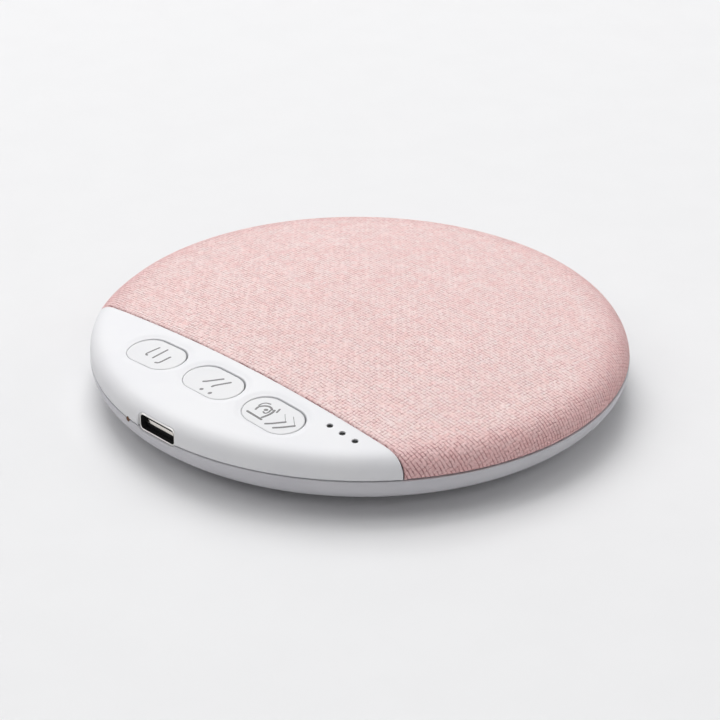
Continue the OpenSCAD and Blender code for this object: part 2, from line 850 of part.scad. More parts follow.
bottom_shell();
top_shell();
grille_plate();
cloth_cover();
foot_ring();
case_screws();
key_cap(-1);  // key_left
key_cap(0);  // key_middle
key_cap(1);  // key_right
switch_plunger(-1);  // plunger_left
switch_plunger(0);  // plunger_middle
switch_plunger(1);  // plunger_right
switch_body(-1);  // switch_left
switch_body(0);  // switch_middle
switch_body(1);  // switch_right
main_board();
board_screws();
board_chips();
status_leds();
charge_led();
light_baffle();
usb_shell();
usb_tongue();
usb_contacts();
battery_cell();
battery_pad();
battery_leads();
driver_frame();
driver_terminal();
driver_yoke();
driver_magnet();
driver_plate();
driver_surround();
driver_gasket();
driver_leads();
voice_coil();
driver_cone();
dust_cap();
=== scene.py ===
"""Looks of a pillow speaker: a flat round case with a cloth top, three keys and a charging port.

Lengths are millimetres until a mesh is made. +Z is up, the control panel faces -Y, and each piece
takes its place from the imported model.
"""

import json
import logging
import math
from collections.abc import Sequence
from dataclasses import dataclass
from enum import Enum

import bpy
import numpy as np
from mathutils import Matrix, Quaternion, Vector
from mathutils.geometry import delaunay_2d_cdt


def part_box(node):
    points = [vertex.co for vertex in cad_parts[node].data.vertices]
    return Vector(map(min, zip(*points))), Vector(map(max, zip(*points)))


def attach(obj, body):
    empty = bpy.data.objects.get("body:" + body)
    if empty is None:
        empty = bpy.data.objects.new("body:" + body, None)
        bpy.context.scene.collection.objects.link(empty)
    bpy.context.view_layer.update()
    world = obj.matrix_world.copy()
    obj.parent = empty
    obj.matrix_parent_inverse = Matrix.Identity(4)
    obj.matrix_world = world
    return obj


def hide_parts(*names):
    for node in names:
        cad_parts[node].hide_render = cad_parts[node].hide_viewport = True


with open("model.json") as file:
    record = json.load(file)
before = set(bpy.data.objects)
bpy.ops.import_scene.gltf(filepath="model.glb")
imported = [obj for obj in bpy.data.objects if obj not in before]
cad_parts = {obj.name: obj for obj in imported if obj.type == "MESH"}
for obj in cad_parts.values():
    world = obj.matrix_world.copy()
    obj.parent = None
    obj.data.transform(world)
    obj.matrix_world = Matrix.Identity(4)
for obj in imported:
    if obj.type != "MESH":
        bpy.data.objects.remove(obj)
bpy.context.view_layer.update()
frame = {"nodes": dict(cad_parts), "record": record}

log = logging.getLogger("pillow_speaker")
Array = np.ndarray
Colour = tuple[float, float, float]
MM = 0.001
TINY = 1e-9
CASE = "case"
SEAM_BEND = 0.5
FOOT_WIDTH = 6.6


class Key(Enum):
    """The three keys, named by their place in the row."""

    LEFT = "left"
    MIDDLE = "middle"
    RIGHT = "right"

    @property
    def body(self) -> str:
        """Name of the body that moves with this key."""
        return f"{self.value}_key"

    @property
    def node(self) -> str:
        """Name of this key's CAD node."""
        return f"key_{self.value}"


def node_box(node: str) -> tuple[Array, Array]:
    """Lowest and highest corner of a CAD node, in millimetres."""
    low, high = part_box(node)
    return np.array(low) / MM, np.array(high) / MM


def shade(red: int, green: int, blue: int) -> Colour:
    """Linear colour of an 8-bit screen colour, by the sRGB curve."""
    parts = (part / 255 for part in (red, green, blue))
    return tuple(((p + 0.055) / 1.055) ** 2.4 if p > 0.04045 else p / 12.92 for p in parts)


def new_object(name: str, data: bpy.types.ID) -> bpy.types.Object:
    """A new object in the scene, at the origin."""
    made = bpy.data.objects.new(name, data)
    bpy.context.scene.collection.objects.link(made)
    return made


def unit(vectors: Array) -> Array:
    """The vectors scaled to length 1; a vector of no length stays as it is."""
    length = np.linalg.norm(vectors, axis=-1, keepdims=True)
    return vectors / np.where(length > TINY, length, 1.0)


def within(points: Array, loop: Array) -> Array:
    """Which points lie inside a loop: an odd number of its sides crosses the ray along +X.

    Args:
        points: (n, 2) places.
        loop: (m, 2) corners in order.

    Returns:
        (n,) truth values.
    """
    start, end = loop, np.roll(loop, -1, axis=0)
    x, y = points[:, :1], points[:, 1:]
    spans = (start[:, 1] > y) != (end[:, 1] > y)
    rise = end[:, 1] - start[:, 1]
    slope = (end[:, 0] - start[:, 0]) / np.where(np.abs(rise) > TINY, rise, 1.0)
    crossing = start[:, 0] + (y - start[:, 1]) * slope
    return (spans & (x < crossing)).sum(axis=1) % 2 == 1


def distance(points: Array, loop: Array) -> Array:
    """Distance of each point from the nearest side of a loop.

    Args:
        points: (n, 2) places.
        loop: (m, 2) corners in order.

    Returns:
        (n,) distances.
    """
    side = np.roll(loop, -1, axis=0) - loop
    to = points[:, None, :] - loop
    share = np.clip((to * side).sum(axis=2) / np.maximum((side * side).sum(axis=1), TINY), 0.0, 1.0)
    return np.linalg.norm(to - share[:, :, None] * side, axis=2).min(axis=1)


def full_turn(count: int) -> Array:
    """Even angles once round, without the last one."""
    return np.linspace(0, 2 * math.pi, count, endpoint=False)


def quarter_turn(count: int) -> Array:
    """Even angles from 0 to a right angle."""
    return np.linspace(0, math.pi / 2, count)


def ways_round(turn: Array) -> Array:
    """Plan directions, (n, 2), at angles counted from the front, -Y, towards +X."""
    return np.column_stack([np.sin(turn), -np.cos(turn)])


def rings_round(radius: Array, turn: Array, height: Array) -> Array:
    """Places round Z, (rows, columns, 3), at radii, angles from the front and heights that are broadcast."""
    return np.stack(np.broadcast_arrays(radius * np.sin(turn), -radius * np.cos(turn), height), axis=-1)


def stadium(length: float, width: float, arc: int = 24, run: int = 8) -> Array:
    """Closed loop of a stadium round the origin, long along X and counter-clockwise.

    Half circles of half the width stand at both ends, and straight runs join them.

    Args:
        length: Overall length.
        width: Overall width.
        arc: Steps of each half circle.
        run: Steps of each straight run.

    Returns:
        (n, 2) points.
    """
    radius, reach = width / 2, (length - width) / 2
    angle = np.linspace(-math.pi / 2, math.pi / 2, arc + 1)
    right = np.column_stack([reach + radius * np.cos(angle), radius * np.sin(angle)])
    x = np.linspace(reach, -reach, run + 1)[1:-1]
    top = np.column_stack([x, np.full_like(x, radius)])
    return np.concatenate([right, top, -right, -top])


def rounded_bar(width: float, height: float, radius: float, arc: int = 6) -> Array:
    """Closed loop of a rectangle with round corners round the origin, counter-clockwise.

    Args:
        width: Size along the first axis.
        height: Size along the second axis.
        radius: Radius of the corners.
        arc: Steps of each corner.

    Returns:
        (n, 2) points.
    """
    turn = quarter_turn(arc + 1)
    quarter = radius * np.column_stack([np.cos(turn), np.sin(turn)])
    middle = np.array([width / 2 - radius, height / 2 - radius])
    spins = [np.linalg.matrix_power(np.array([[0, 1], [-1, 0]]), k) for k in range(4)]
    return np.concatenate([np.ones(2) @ spin * middle + quarter @ spin for spin in spins])


class Surface:
    """Vertices and faces of one piece, gathered patch by patch, in millimetres."""

    def __init__(self) -> None:
        """Start with nothing."""
        self.points: list[Array] = []
        self.flats: list[Array] = []
        self.faces: list[Array] = []
        self.normals: list[Array] = []
        self.size = 0

    def add_points(self, points: Array, flat: Array | None = None) -> Array:
        """Add vertices.

        Args:
            points: (n, 3) places.
            flat: (n, 2) places in the flat cut, for a piece of cloth.

        Returns:
            (n,) indexes of the new vertices.
        """
        start = self.size
        self.points.append(points)
        self.flats.append(np.zeros((len(points), 2)) if flat is None else flat)
        self.size += len(points)
        return np.arange(start, self.size)

    def add_faces(self, faces: Array, normals: Array) -> None:
        """Add faces of k corners: (n, k) indexes with (n, k, 3) corner normals."""
        self.faces.append(faces)
        self.normals.append(normals)

    def add_quads(self, index: Array, normals: Array, wrap: bool) -> None:
        """Join a grid of vertices with quads.

        Args:
            index: (rows, columns) indexes.
            normals: (rows, columns, 3) normals.
            wrap: Join the last column to the first.
        """
        ends = slice(None) if wrap else slice(None, -1)
        ahead, turned = np.roll(index, -1, axis=1), np.roll(normals, -1, axis=1)
        corners = (index[:-1], index[1:], ahead[1:], ahead[:-1])
        leans = (normals[:-1], normals[1:], turned[1:], turned[:-1])
        faces = np.stack([c[:, ends] for c in corners], axis=-1)
        tilt = np.stack([n[:, ends] for n in leans], axis=-2)
        self.add_faces(faces.reshape(-1, 4), tilt.reshape(-1, 4, 3))

    def add_grid(self, points: Array, wrap: bool = True, creases: Sequence[int] = ()) -> Array:
        """Add a grid that is smooth between its creased rows.

        The normal at a vertex is the step along the rows crossed with the step along the columns.

        Args:
            points: (rows, columns, 3) places.
            wrap: Join the last column to the first.
            creases: Rows where the surface has a sharp edge.

        Returns:
            (rows, columns) indexes.
        """
        rows, columns, _ = points.shape
        index = self.add_points(points.reshape(-1, 3)).reshape(rows, columns)
        if wrap:
            across = np.roll(points, -1, axis=1) - np.roll(points, 1, axis=1)
        else:
            across = np.gradient(points, axis=1)
        bounds = [0, *creases, rows - 1]
        for low, high in zip(bounds[:-1], bounds[1:]):
            along = np.gradient(points[low:high + 1], axis=0)
            self.add_quads(index[low:high + 1], unit(np.cross(along, across[low:high + 1])), wrap)
        return index

    def add_fan(self, ring: Array, middle: Array, normal: Sequence[float], last: bool) -> None:
        """Close the first or last row of a grid with a flat fan of triangles.

        Args:
            ring: (n,) indexes of the row.
            middle: Place of the fan's middle.
            normal: The fan's normal.
            last: The row is the grid's last one, and not its first.
        """
        centre = np.full_like(ring, self.add_points(np.array([middle], float))[0])
        ahead = np.roll(ring, -1)
        faces = np.stack([ring, centre, ahead] if last else [centre, ring, ahead], axis=-1)
        self.add_faces(faces, np.broadcast_to(np.array(normal, float), (len(ring), 3, 3)))

    def add(self, other: "Surface") -> None:
        """Take in another surface, which keeps its own faces."""
        self.faces += [faces + self.size for faces in other.faces]
        self.normals += other.normals
        self.points += other.points
        self.flats += other.flats
        self.size += other.size

    def turned_out(self) -> "Surface":
        """This closed surface with its faces and normals outwards: its volume counts as positive."""
        points = np.concatenate(self.points)
        volume = 0.0
        for faces in self.faces:
            corner = points[faces]
            for k in range(1, faces.shape[1] - 1):
                volume += (corner[:, 0] * np.cross(corner[:, k], corner[:, k + 1])).sum()
        if volume < 0:
            self.faces = [faces[:, ::-1] for faces in self.faces]
            self.normals = [normals[:, ::-1] for normals in self.normals]
        for k, faces in enumerate(self.faces):
            corner = points[faces]
            facing = np.cross(corner[:, 1] - corner[:, 0], corner[:, 2] - corner[:, 0])
            inwards = (self.normals[k].sum(axis=1) * facing).sum(axis=1) < 0
            self.normals[k] = self.normals[k] * np.where(inwards, -1.0, 1.0)[:, None, None]
        return self

    def piece(self, name: str, flat_map: str | None = None) -> bpy.types.Object:
        """Make the object, at the origin and in metres.

        Args:
            name: Name of the piece.
            flat_map: Name of a UV map that holds the place in the flat cut, in metres.

        Returns:
            The new object.
        """
        mesh = bpy.data.meshes.new(name)
        corners = np.concatenate([faces.ravel() for faces in self.faces])
        sizes = np.concatenate([np.full(len(faces), faces.shape[1]) for faces in self.faces])
        mesh.vertices.add(self.size)
        mesh.vertices.foreach_set("co", (np.concatenate(self.points) * MM).ravel())
        mesh.loops.add(len(corners))
        mesh.loops.foreach_set("vertex_index", corners)
        mesh.polygons.add(len(sizes))
        mesh.polygons.foreach_set("loop_start", np.cumsum(sizes) - sizes)
        mesh.update(calc_edges=True)
        mesh.shade_smooth()
        mesh.normals_split_custom_set(np.concatenate([n.reshape(-1, 3) for n in self.normals]))
        if flat_map:
            layer = mesh.uv_layers.new(name=flat_map)
            layer.data.foreach_set("uv", (np.concatenate(self.flats)[corners] * MM).ravel())
        log.info("%s: %d vertices, %d faces", name, self.size, len(sizes))
        return new_object(name, mesh)


def tube(points: Array, first: Sequence[float], last: Sequence[float]) -> Surface:
    """A grid whose rows close in themselves, with a flat fan over each end.

    Args:
        points: (rows, columns, 3) places.
        first: Normal over the first row.
        last: Normal over the last row.

    Returns:
        The closed surface.
    """
    made = Surface()
    index = made.add_grid(points)
    made.add_fan(index[0], points[0].mean(axis=0), first, last=False)
    made.add_fan(index[-1], points[-1].mean(axis=0), last, last=True)
    return made.turned_out()


@dataclass(frozen=True)
class CaseForm:
    """Outer form of the case: a dome with a rounded shoulder over an elliptical base.

    The unrolled plane lays the dome flat: a point's distance from its middle is the length along the
    meridian from the top of the dome, and its direction stays. The shoulder stands out of its arc by up
    to the fullness, which fades in between the two Y of full_from.
    """

    half_w: float
    apex_z: float
    parting_z: float
    base_z: float
    shoulder_r: float = 5.0
    parting_rise: float = 0.3
    base_round: float = 14.0
    wall: float = 1.7
    fullness: float = 0.55
    full_from: tuple[float, float] = (-14.0, -36.0)

    @classmethod
    def from_frame(cls) -> "CaseForm":
        """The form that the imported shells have."""
        low, high = node_box("bottom_shell")
        return cls(high[0], node_box("cloth_cover")[1][2], high[2], low[2])

    @property
    def widest_z(self) -> float:
        """Height of the widest line."""
        return self.parting_z - self.parting_rise

    @property
    def rim_r(self) -> float:
        """Radius at which the middle of the shoulder's arc lies."""
        return self.half_w - math.sqrt(self.shoulder_r**2 - self.parting_rise**2)

    @property
    def cap_r(self) -> float:
        """Radius of the cap's sphere, which meets the shoulder's arc without a corner."""
        rise = self.apex_z - self.widest_z
        return (self.rim_r**2 + rise**2 - self.shoulder_r**2) / (2 * (rise - self.shoulder_r))

    @property
    def cap_z(self) -> float:
        """Height of the middle of the cap's sphere."""
        return self.apex_z - self.cap_r

    @property
    def cap_angle(self) -> float:
        """Angle from straight up at which the cap ends."""
        return math.atan2(self.rim_r, self.widest_z - self.cap_z)

    @property
    def cap_length(self) -> float:
        """Length along the meridian from the top to the end of the cap."""
        return self.cap_r * self.cap_angle

    @property
    def flat_r(self) -> float:
        """Radius of the flat underside."""
        return self.half_w - self.base_round

    def length_at(self, angle: Array) -> Array:
        """Length along the meridian at a normal's angle from straight up."""
        past = self.cap_length + self.shoulder_r * (angle - self.cap_angle)
        return np.where(angle <= self.cap_angle, self.cap_r * angle, past)

    def angle_at_radius(self, radius: Array) -> Array:
        """Angle of the outer face's normal from straight up at a plan radius."""
        cap = np.arcsin(np.clip(radius / self.cap_r, 0, 1))
        shoulder = np.arcsin(np.clip((radius - self.rim_r) / self.shoulder_r, 0, 1))
        return np.where(radius <= self.cap_r * math.sin(self.cap_angle), cap, shoulder)

    def angle_at_height(self, height: Array, steps: int = 2000) -> Array:
        """Angle of the arc from straight up at a height of the shoulder, looked up along the arc."""
        angle = np.linspace(math.pi / 2, self.cap_angle, steps)
        reach = self.shoulder_r + self.swell(angle)[0]
        return np.interp(height, self.widest_z + reach * np.cos(angle), angle)

    def swell(self, angle: Array) -> tuple[Array, Array]:
        """How far the shoulder stands out of its arc, a squared sine, and how this grows with the angle."""
        span = math.pi / 2 - self.cap_angle
        part = math.pi * np.clip((angle - self.cap_angle) / span, 0, 1)
        return self.fullness * np.sin(part) ** 2, self.fullness * np.sin(2 * part) * math.pi / span

    def fade(self, y: Array) -> tuple[Array, Array]:
        """Share of the fullness at each Y, a smooth step, and its growth with Y."""
        span = self.full_from[1] - self.full_from[0]
        part = np.clip((y - self.full_from[0]) / span, 0, 1)
        return part**2 * (3 - 2 * part), 6 * part * (1 - part) / span

    def unroll(self, plan: Array) -> Array:
        """Lay plan points of the dome in the unrolled plane, (n, 2) to (n, 2)."""
        radius = np.linalg.norm(plan, axis=1)
        return unit(plan) * self.length_at(self.angle_at_radius(radius))[:, None]

    def unroll_front(self, x: Array, z: Array) -> Array:
        """Lay points of the shoulder's front, given by X and height, in the unrolled plane."""
        angle = self.angle_at_height(z)
        turn = np.arcsin(x / (self.rim_r + (self.shoulder_r + self.swell(angle)[0]) * np.sin(angle)))
        return ways_round(turn) * self.length_at(angle)[:, None]

    def roll(self, flat: Array) -> tuple[Array, Array, Array]:
        """Put points of the unrolled plane on the outer face.

        The length along the meridian gives the angle: over the cap it is the length divided by the
        cap's radius, and past the cap it grows with the shoulder's radius. The shoulder's points are
        then moved out by the swell and the normals tilted by its slopes, downhill and round the rim.

        Args:
            flat: (n, 2) places in the unrolled plane.

        Returns:
            (n, 3) places, (n, 3) outward normals and (n, 3) downhill tangents.
        """
        length = np.linalg.norm(flat, axis=1)
        way = unit(flat)
        over = length > self.cap_length
        past = self.cap_angle + (length - self.cap_length) / self.shoulder_r
        angle = np.where(over, past, length / self.cap_r)
        sine, cosine = np.sin(angle), np.cos(angle)
        radius = np.where(over, self.rim_r + self.shoulder_r * sine, self.cap_r * sine)
        height = np.where(over, self.widest_z + self.shoulder_r * cosine, self.cap_z + self.cap_r * cosine)
        places = np.column_stack([way * radius[:, None], height])
        normals = np.column_stack([way * sine[:, None], cosine])
        downhill = np.column_stack([way * cosine[:, None], -sine])
        around = np.column_stack([-way[:, 1], way[:, 0], np.zeros(len(way))])
        swell, growth = self.swell(angle)
        share, fading = self.fade(places[:, 1])
        slope = share * growth / (self.shoulder_r + swell) + swell * fading * downhill[:, 1]
        places = places + normals * (swell * share)[:, None]
        tilted = normals - downhill * slope[:, None] - around * (swell * fading * way[:, 0])[:, None]
        return places, unit(tilted), unit(downhill + normals * slope[:, None])

    def inward(self, flat: Array) -> Array:
        """Directions through the wall: straight down under the cap, turning level down the shoulder."""
        length = np.linalg.norm(flat, axis=1)
        level = math.pi / 2 - self.cap_angle
        lean = np.clip((length - self.cap_length) / (self.shoulder_r * level), 0, 1) * math.pi / 2
        return -np.column_stack([unit(flat) * np.sin(lean)[:, None], np.cos(lean)])

    def dome_height(self, plan: Array) -> Array:
        """Height of the dome's cap over plan points."""
        return self.cap_z + np.sqrt(self.cap_r**2 - (plan**2).sum(axis=1))

    def base_profile(self, inset: float, turn: Array) -> tuple[Array, Array]:
        """Radius and height of the base's rounding: an ellipse from straight down (turn 0) to level.

        Args:
            inset: Depth inside the outer face.
            turn: Angles along the ellipse.

        Returns:
            Radii and heights.
        """
        radius = self.flat_r + (self.base_round - inset) * np.sin(turn)
        return radius, self.widest_z - (self.widest_z - self.base_z - inset) * np.cos(turn)


@dataclass
class Edge:
    """A closed edge of a skin: a counter-clockwise loop in the unrolled plane.

    round_r is the radius of the rounded edge, the same all along it or given at each point, and hole says
    that the skin lies outside. The skin sags towards the edge by dish_depth over dish_width. A side that
    turns by more than corner_turn makes a corner, where the radius is corner_least and grows by
    corner_share of the distance. mitre_least limits the steps at corners.
    """

    loop: Array
    round_r: Array | float
    hole: bool = False
    dish_depth: float = 0.0
    dish_width: float = 1.0
    corner_turn: float = 0.45
    corner_least: float = 0.03
    corner_share: float = 0.3
    mitre_least: float = 0.4

    def __post_init__(self) -> None:
        """Let the rounding fade out towards sharp corners, where full rounds would cross."""
        self.round_r = np.broadcast_to(self.round_r, len(self.loop))
        ahead, before = self.sides()
        corners = self.loop[(ahead * before).sum(axis=1) < math.cos(self.corner_turn)]
        if len(corners):
            room = np.linalg.norm(self.loop[:, None, :] - corners, axis=2).min(axis=1)
            self.round_r = np.minimum(self.round_r, self.corner_least + self.corner_share * room)

    def sides(self) -> tuple[Array, Array]:
        """Directions of the sides after and before each point."""
        ahead = unit(np.roll(self.loop, -1, axis=0) - self.loop)
        return ahead, np.roll(ahead, 1, axis=0)

    def sag(self, flat: Array) -> Array:
        """How far the skin sags at places of the unrolled plane: a smooth step towards the edge."""
        share = np.clip(1 - distance(flat, self.loop) / self.dish_width, 0, 1)
        return self.dish_depth * share * share * (3 - 2 * share)

    def outward(self) -> Array:
        """Mitred steps out of the skin, so that a loop moved along them keeps its distance."""
        ahead, before = self.sides()
        right = np.column_stack([ahead[:, 1], -ahead[:, 0]])
        mean = unit(right + np.column_stack([before[:, 1], -before[:, 0]]))
        mitre = mean / np.clip((mean * right).sum(axis=1), self.mitre_least, 1.0)[:, None]
        return -mitre if self.hole else mitre


class Skin:
    """A trimmed stretch of the dome with rounded edges and a thickness.

    Near an edge the face bends down in a quarter circle: at a turn b it has come in from the edge by
    r - r sin b and lies r - r cos b under the dome.
    """

    turns = np.radians([90.0, 75.0, 60.0, 45.0, 30.0, 15.0, 0.0])
    fill_gap = 0.35
    weld = 1e-7

    def __init__(self, form: CaseForm, edges: Sequence[Edge], fill: Array) -> None:
        """Triangulate the skin.

        Args:
            form: The case.
            edges: Its edges, the outer one first.
            fill: (n, 2) places in the unrolled plane, of which those clear of the edges are used.
        """
        self.form = form
        self.holes = [edge.hole for edge in edges]
        self.loops: list[Array] = []
        flats, drops, leans, ways, sides = [], [], [], [], []
        start = 0
        for edge in edges:
            out = edge.outward()
            count = len(edge.loop)
            self.loops.append(start + np.arange(count))
            for turn in self.turns:
                flats.append(edge.loop - out * (edge.round_r * (1 - math.sin(turn)))[:, None])
                drops.append(edge.round_r * (1 - math.cos(turn)))
                leans.append(np.full(count, turn))
                ways.append(unit(out))
                ring = start + np.arange(count)
                sides.append(np.column_stack([ring, np.roll(ring, -1)]))
                start += count
        fill = self.clear_fill(edges, fill)
        flats.append(fill)
        drops.append(np.zeros(len(fill)))
        leans.append(np.zeros(len(fill)))
        ways.append(np.zeros((len(fill), 2)))
        self.flat = np.concatenate(flats)
        self.faces = self.triangles(edges, np.concatenate(sides))
        self.base, normal, downhill = form.roll(self.flat)
        sag, normal = self.sagged(edges, normal)
        lean = np.concatenate(leans)[:, None]
        way = np.concatenate(ways)
        radial = unit(self.flat)
        around = np.column_stack([-radial[:, 1], radial[:, 0], np.zeros(len(radial))])
        along = (way * radial).sum(axis=1, keepdims=True) * downhill
        along += (way[:, 1] * radial[:, 0] - way[:, 0] * radial[:, 1])[:, None] * around
        self.places = self.base - normal * (np.concatenate(drops) + sag)[:, None]
        self.normals = unit(normal * np.cos(lean) + along * np.sin(lean))

    def clear_fill(self, edges: Sequence[Edge], fill: Array) -> Array:
        """Those places of the fill that lie in the skin and clear of its rounded edges."""
        for edge in edges:
            fill = fill[within(fill, edge.loop) != edge.hole]
            fill = fill[distance(fill, edge.loop) > edge.round_r.max() + self.fill_gap]
        return fill

    def triangles(self, edges: Sequence[Edge], sides: Array) -> Array:
        """Join the skin's places with triangles that face outwards.

        Args:
            edges: The skin's edges.
            sides: (n, 2) pairs of places that have to be joined.

        Returns:
            (n, 3) indexes of the places.
        """
        found = delaunay_2d_cdt(self.flat.tolist(), sides.tolist(), [], 0, self.weld)
        if len(found[0]) != len(self.flat):
            raise ValueError("two points of a skin fall together, or its edges cross")
        faces = np.array(found[2])
        middle = self.flat[faces].mean(axis=1)
        kept = np.ones(len(faces), bool)
        for edge in edges:
            kept &= within(middle, edge.loop) != edge.hole
        faces = faces[kept]
        a, b, c = (self.flat[faces[:, k]] for k in range(3))
        turned = np.cross(b - a, c - a) < 0
        return np.where(turned[:, None], faces[:, ::-1], faces)

    def sagged(self, edges: Sequence[Edge], normal: Array, step: float = 0.02) -> tuple[Array, Array]:
        """Sag of the skin at its dished edges, and the normals tilted by the sag's slope.

        Args:
            edges: The skin's edges.
            normal: (n, 3) normals of the dome.
            step: Step of the slope's differences.

        Returns:
            (n,) sags and (n, 3) normals.
        """
        sag, slope = np.zeros(len(self.flat)), np.zeros((len(self.flat), 3))
        for edge in edges:
            if edge.dish_depth:
                sag += edge.sag(self.flat)
                for axis, shift in enumerate(np.eye(2) * step):
                    rise = edge.sag(self.flat + shift) - edge.sag(self.flat - shift)
                    slope[:, axis] += rise / (2 * step)
        return sag, unit(normal + slope)

    def wall(self, surface: Surface, upper: Array, lower: Array, hole: bool) -> None:
        """Join two loops of vertices with a wall that faces out of the skin."""
        points = np.concatenate(surface.points)
        ahead = np.roll(points[upper], -1, axis=0) - np.roll(points[upper], 1, axis=0)
        normal = unit(np.cross(points[lower] - points[upper], ahead))
        rows, tilt = np.stack([upper, lower]), np.stack([normal, normal])
        if hole:
            rows, tilt = rows[::-1], -tilt[::-1]
        surface.add_quads(rows, tilt, wrap=True)

    def plate(self, thickness: float, flange: Sequence[tuple[float, float]] = ()) -> Surface:
        """The closed plate between the skin and its underside.

        Args:
            thickness: Depth of the underside.
            flange: Steps out of the outer edge, each with its depth, that the outer wall follows.

        Returns:
            The closed surface.
        """
        made = Surface()
        top = made.add_points(self.places, self.flat)
        inward = self.form.inward(self.flat)
        under = made.add_points(self.base + inward * thickness, self.flat)
        made.add_faces(top[self.faces], self.normals[self.faces])
        made.add_faces(under[self.faces[:, ::-1]], inward[self.faces[:, ::-1]])
        for loop, hole in zip(self.loops, self.holes):
            upper = top[loop]
            if not hole:
                step_way = Edge(self.flat[loop], 0.0).outward()
                for step, depth in flange:
                    flat = self.flat[loop] + step_way * step
                    places = self.form.roll(flat)[0] + self.form.inward(flat) * depth
                    lower = made.add_points(places, flat)
                    self.wall(made, upper, lower, hole)
                    upper = lower
            self.wall(made, upper, under[loop], hole)
        return made


def square_fill(step: float, low: Sequence[float], high: Sequence[float]) -> Array:
    """Places of a square grid between two corners, (n, 2)."""
    x = np.arange(low[0], high[0] + step, step)
    y = np.arange(low[1], high[1] + step, step)
    return np.stack(np.meshgrid(x, y), axis=-1).reshape(-1, 2)


def dome_fill(
    form: CaseForm,
    low: Sequence[float],
    high: Sequence[float],
    step: float,
    clear: float,
    ring_step: float,
    columns: int,
    reach: float = 7.0,
) -> Array:
    """Places in the unrolled plane: a square grid over the cap, and rings over the shoulder.

    Args:
        form: The case.
        low: Lower corner of the grid.
        high: Upper corner of the grid.
        step: Step of the grid.
        clear: Distance of the grid from the end of the cap.
        ring_step: Step between the rings.
        columns: Count of places on each ring.
        reach: How far the rings go past the end of the cap.

    Returns:
        (n, 2) places.
    """
    cap = square_fill(step, low, high)
    cap = cap[np.linalg.norm(cap, axis=1) < form.cap_length - clear]
    radii = np.arange(form.cap_length, form.cap_length + reach, ring_step)
    shoulder = radii[:, None, None] * ways_round(full_turn(columns))
    return np.concatenate([cap, shoulder.reshape(-1, 2)])


def peg(
    middle: Sequence[float], radius: float, low: float, high: float, along_y: bool = False, columns: int = 40
) -> Surface:
    """A short round peg: a circle carried from one level to another and closed at both ends.

    Args:
        middle: Place of its axis, as X and Y, or as X and Z if it lies along Y.
        radius: Its radius.
        low: Its lower end along the axis.
        high: Its upper end along the axis.
        along_y: It lies along Y and not along Z.
        columns: Count of steps round it.

    Returns:
        The closed surface.
    """
    ring = np.array(middle) + radius * ways_round(full_turn(columns))
    rows = np.stack([np.column_stack([ring, np.full(columns, level)]) for level in (high, low)])
    ends = np.array([[0.0, 0.0, 1.0], [0.0, 0.0, -1.0]])
    order = [0, 2, 1] if along_y else [0, 1, 2]
    return tube(rows[:, :, order], *ends[:, order])


class Value:
    """A number in a shader. Arithmetic on it adds Math nodes."""

    def __init__(self, nodes: "Nodes", socket: bpy.types.NodeSocket) -> None:
        """Wrap a socket of one of the nodes."""
        self.nodes = nodes
        self.socket = socket

    def math(self, operation: str, *others: "Value | float") -> "Value":
        """The result of a Math node with this value first."""
        return self.nodes.math(operation, self, *others)

    def __add__(self, other: "Value | float") -> "Value":
        """Sum."""
        return self.math("ADD", other)

    def __sub__(self, other: "Value | float") -> "Value":
        """Difference."""
        return self.math("SUBTRACT", other)

    def __rsub__(self, other: float) -> "Value":
        """Difference from a number."""
        return self.nodes.math("SUBTRACT", other, self)

    def __mul__(self, other: "Value | float") -> "Value":
        """Product."""
        return self.math("MULTIPLY", other)

    def __pow__(self, other: "Value | float") -> "Value":
        """Power."""
        return self.math("POWER", other)

    def __mod__(self, other: "Value | float") -> "Value":
        """Remainder, never negative."""
        return self.math("FLOORED_MODULO", other)

    def __gt__(self, other: "Value | float") -> "Value":
        """1 where this is greater, and 0 elsewhere."""
        return self.math("GREATER_THAN", other)

    __radd__ = __add__
    __rmul__ = __mul__

    def floor(self) -> "Value":
        """Next whole number below."""
        return self.math("FLOOR")

    def between(self, low: float, high: float) -> "Value":
        """0 below low, 1 above high and a smooth rise between them."""
        rise = {"interpolation_type": "SMOOTHSTEP"}
        made = self.nodes.node("ShaderNodeMapRange", rise, {0: self, 1: low, 2: high, 3: 0.0, 4: 1.0})
        return Value(self.nodes, made.outputs[0])


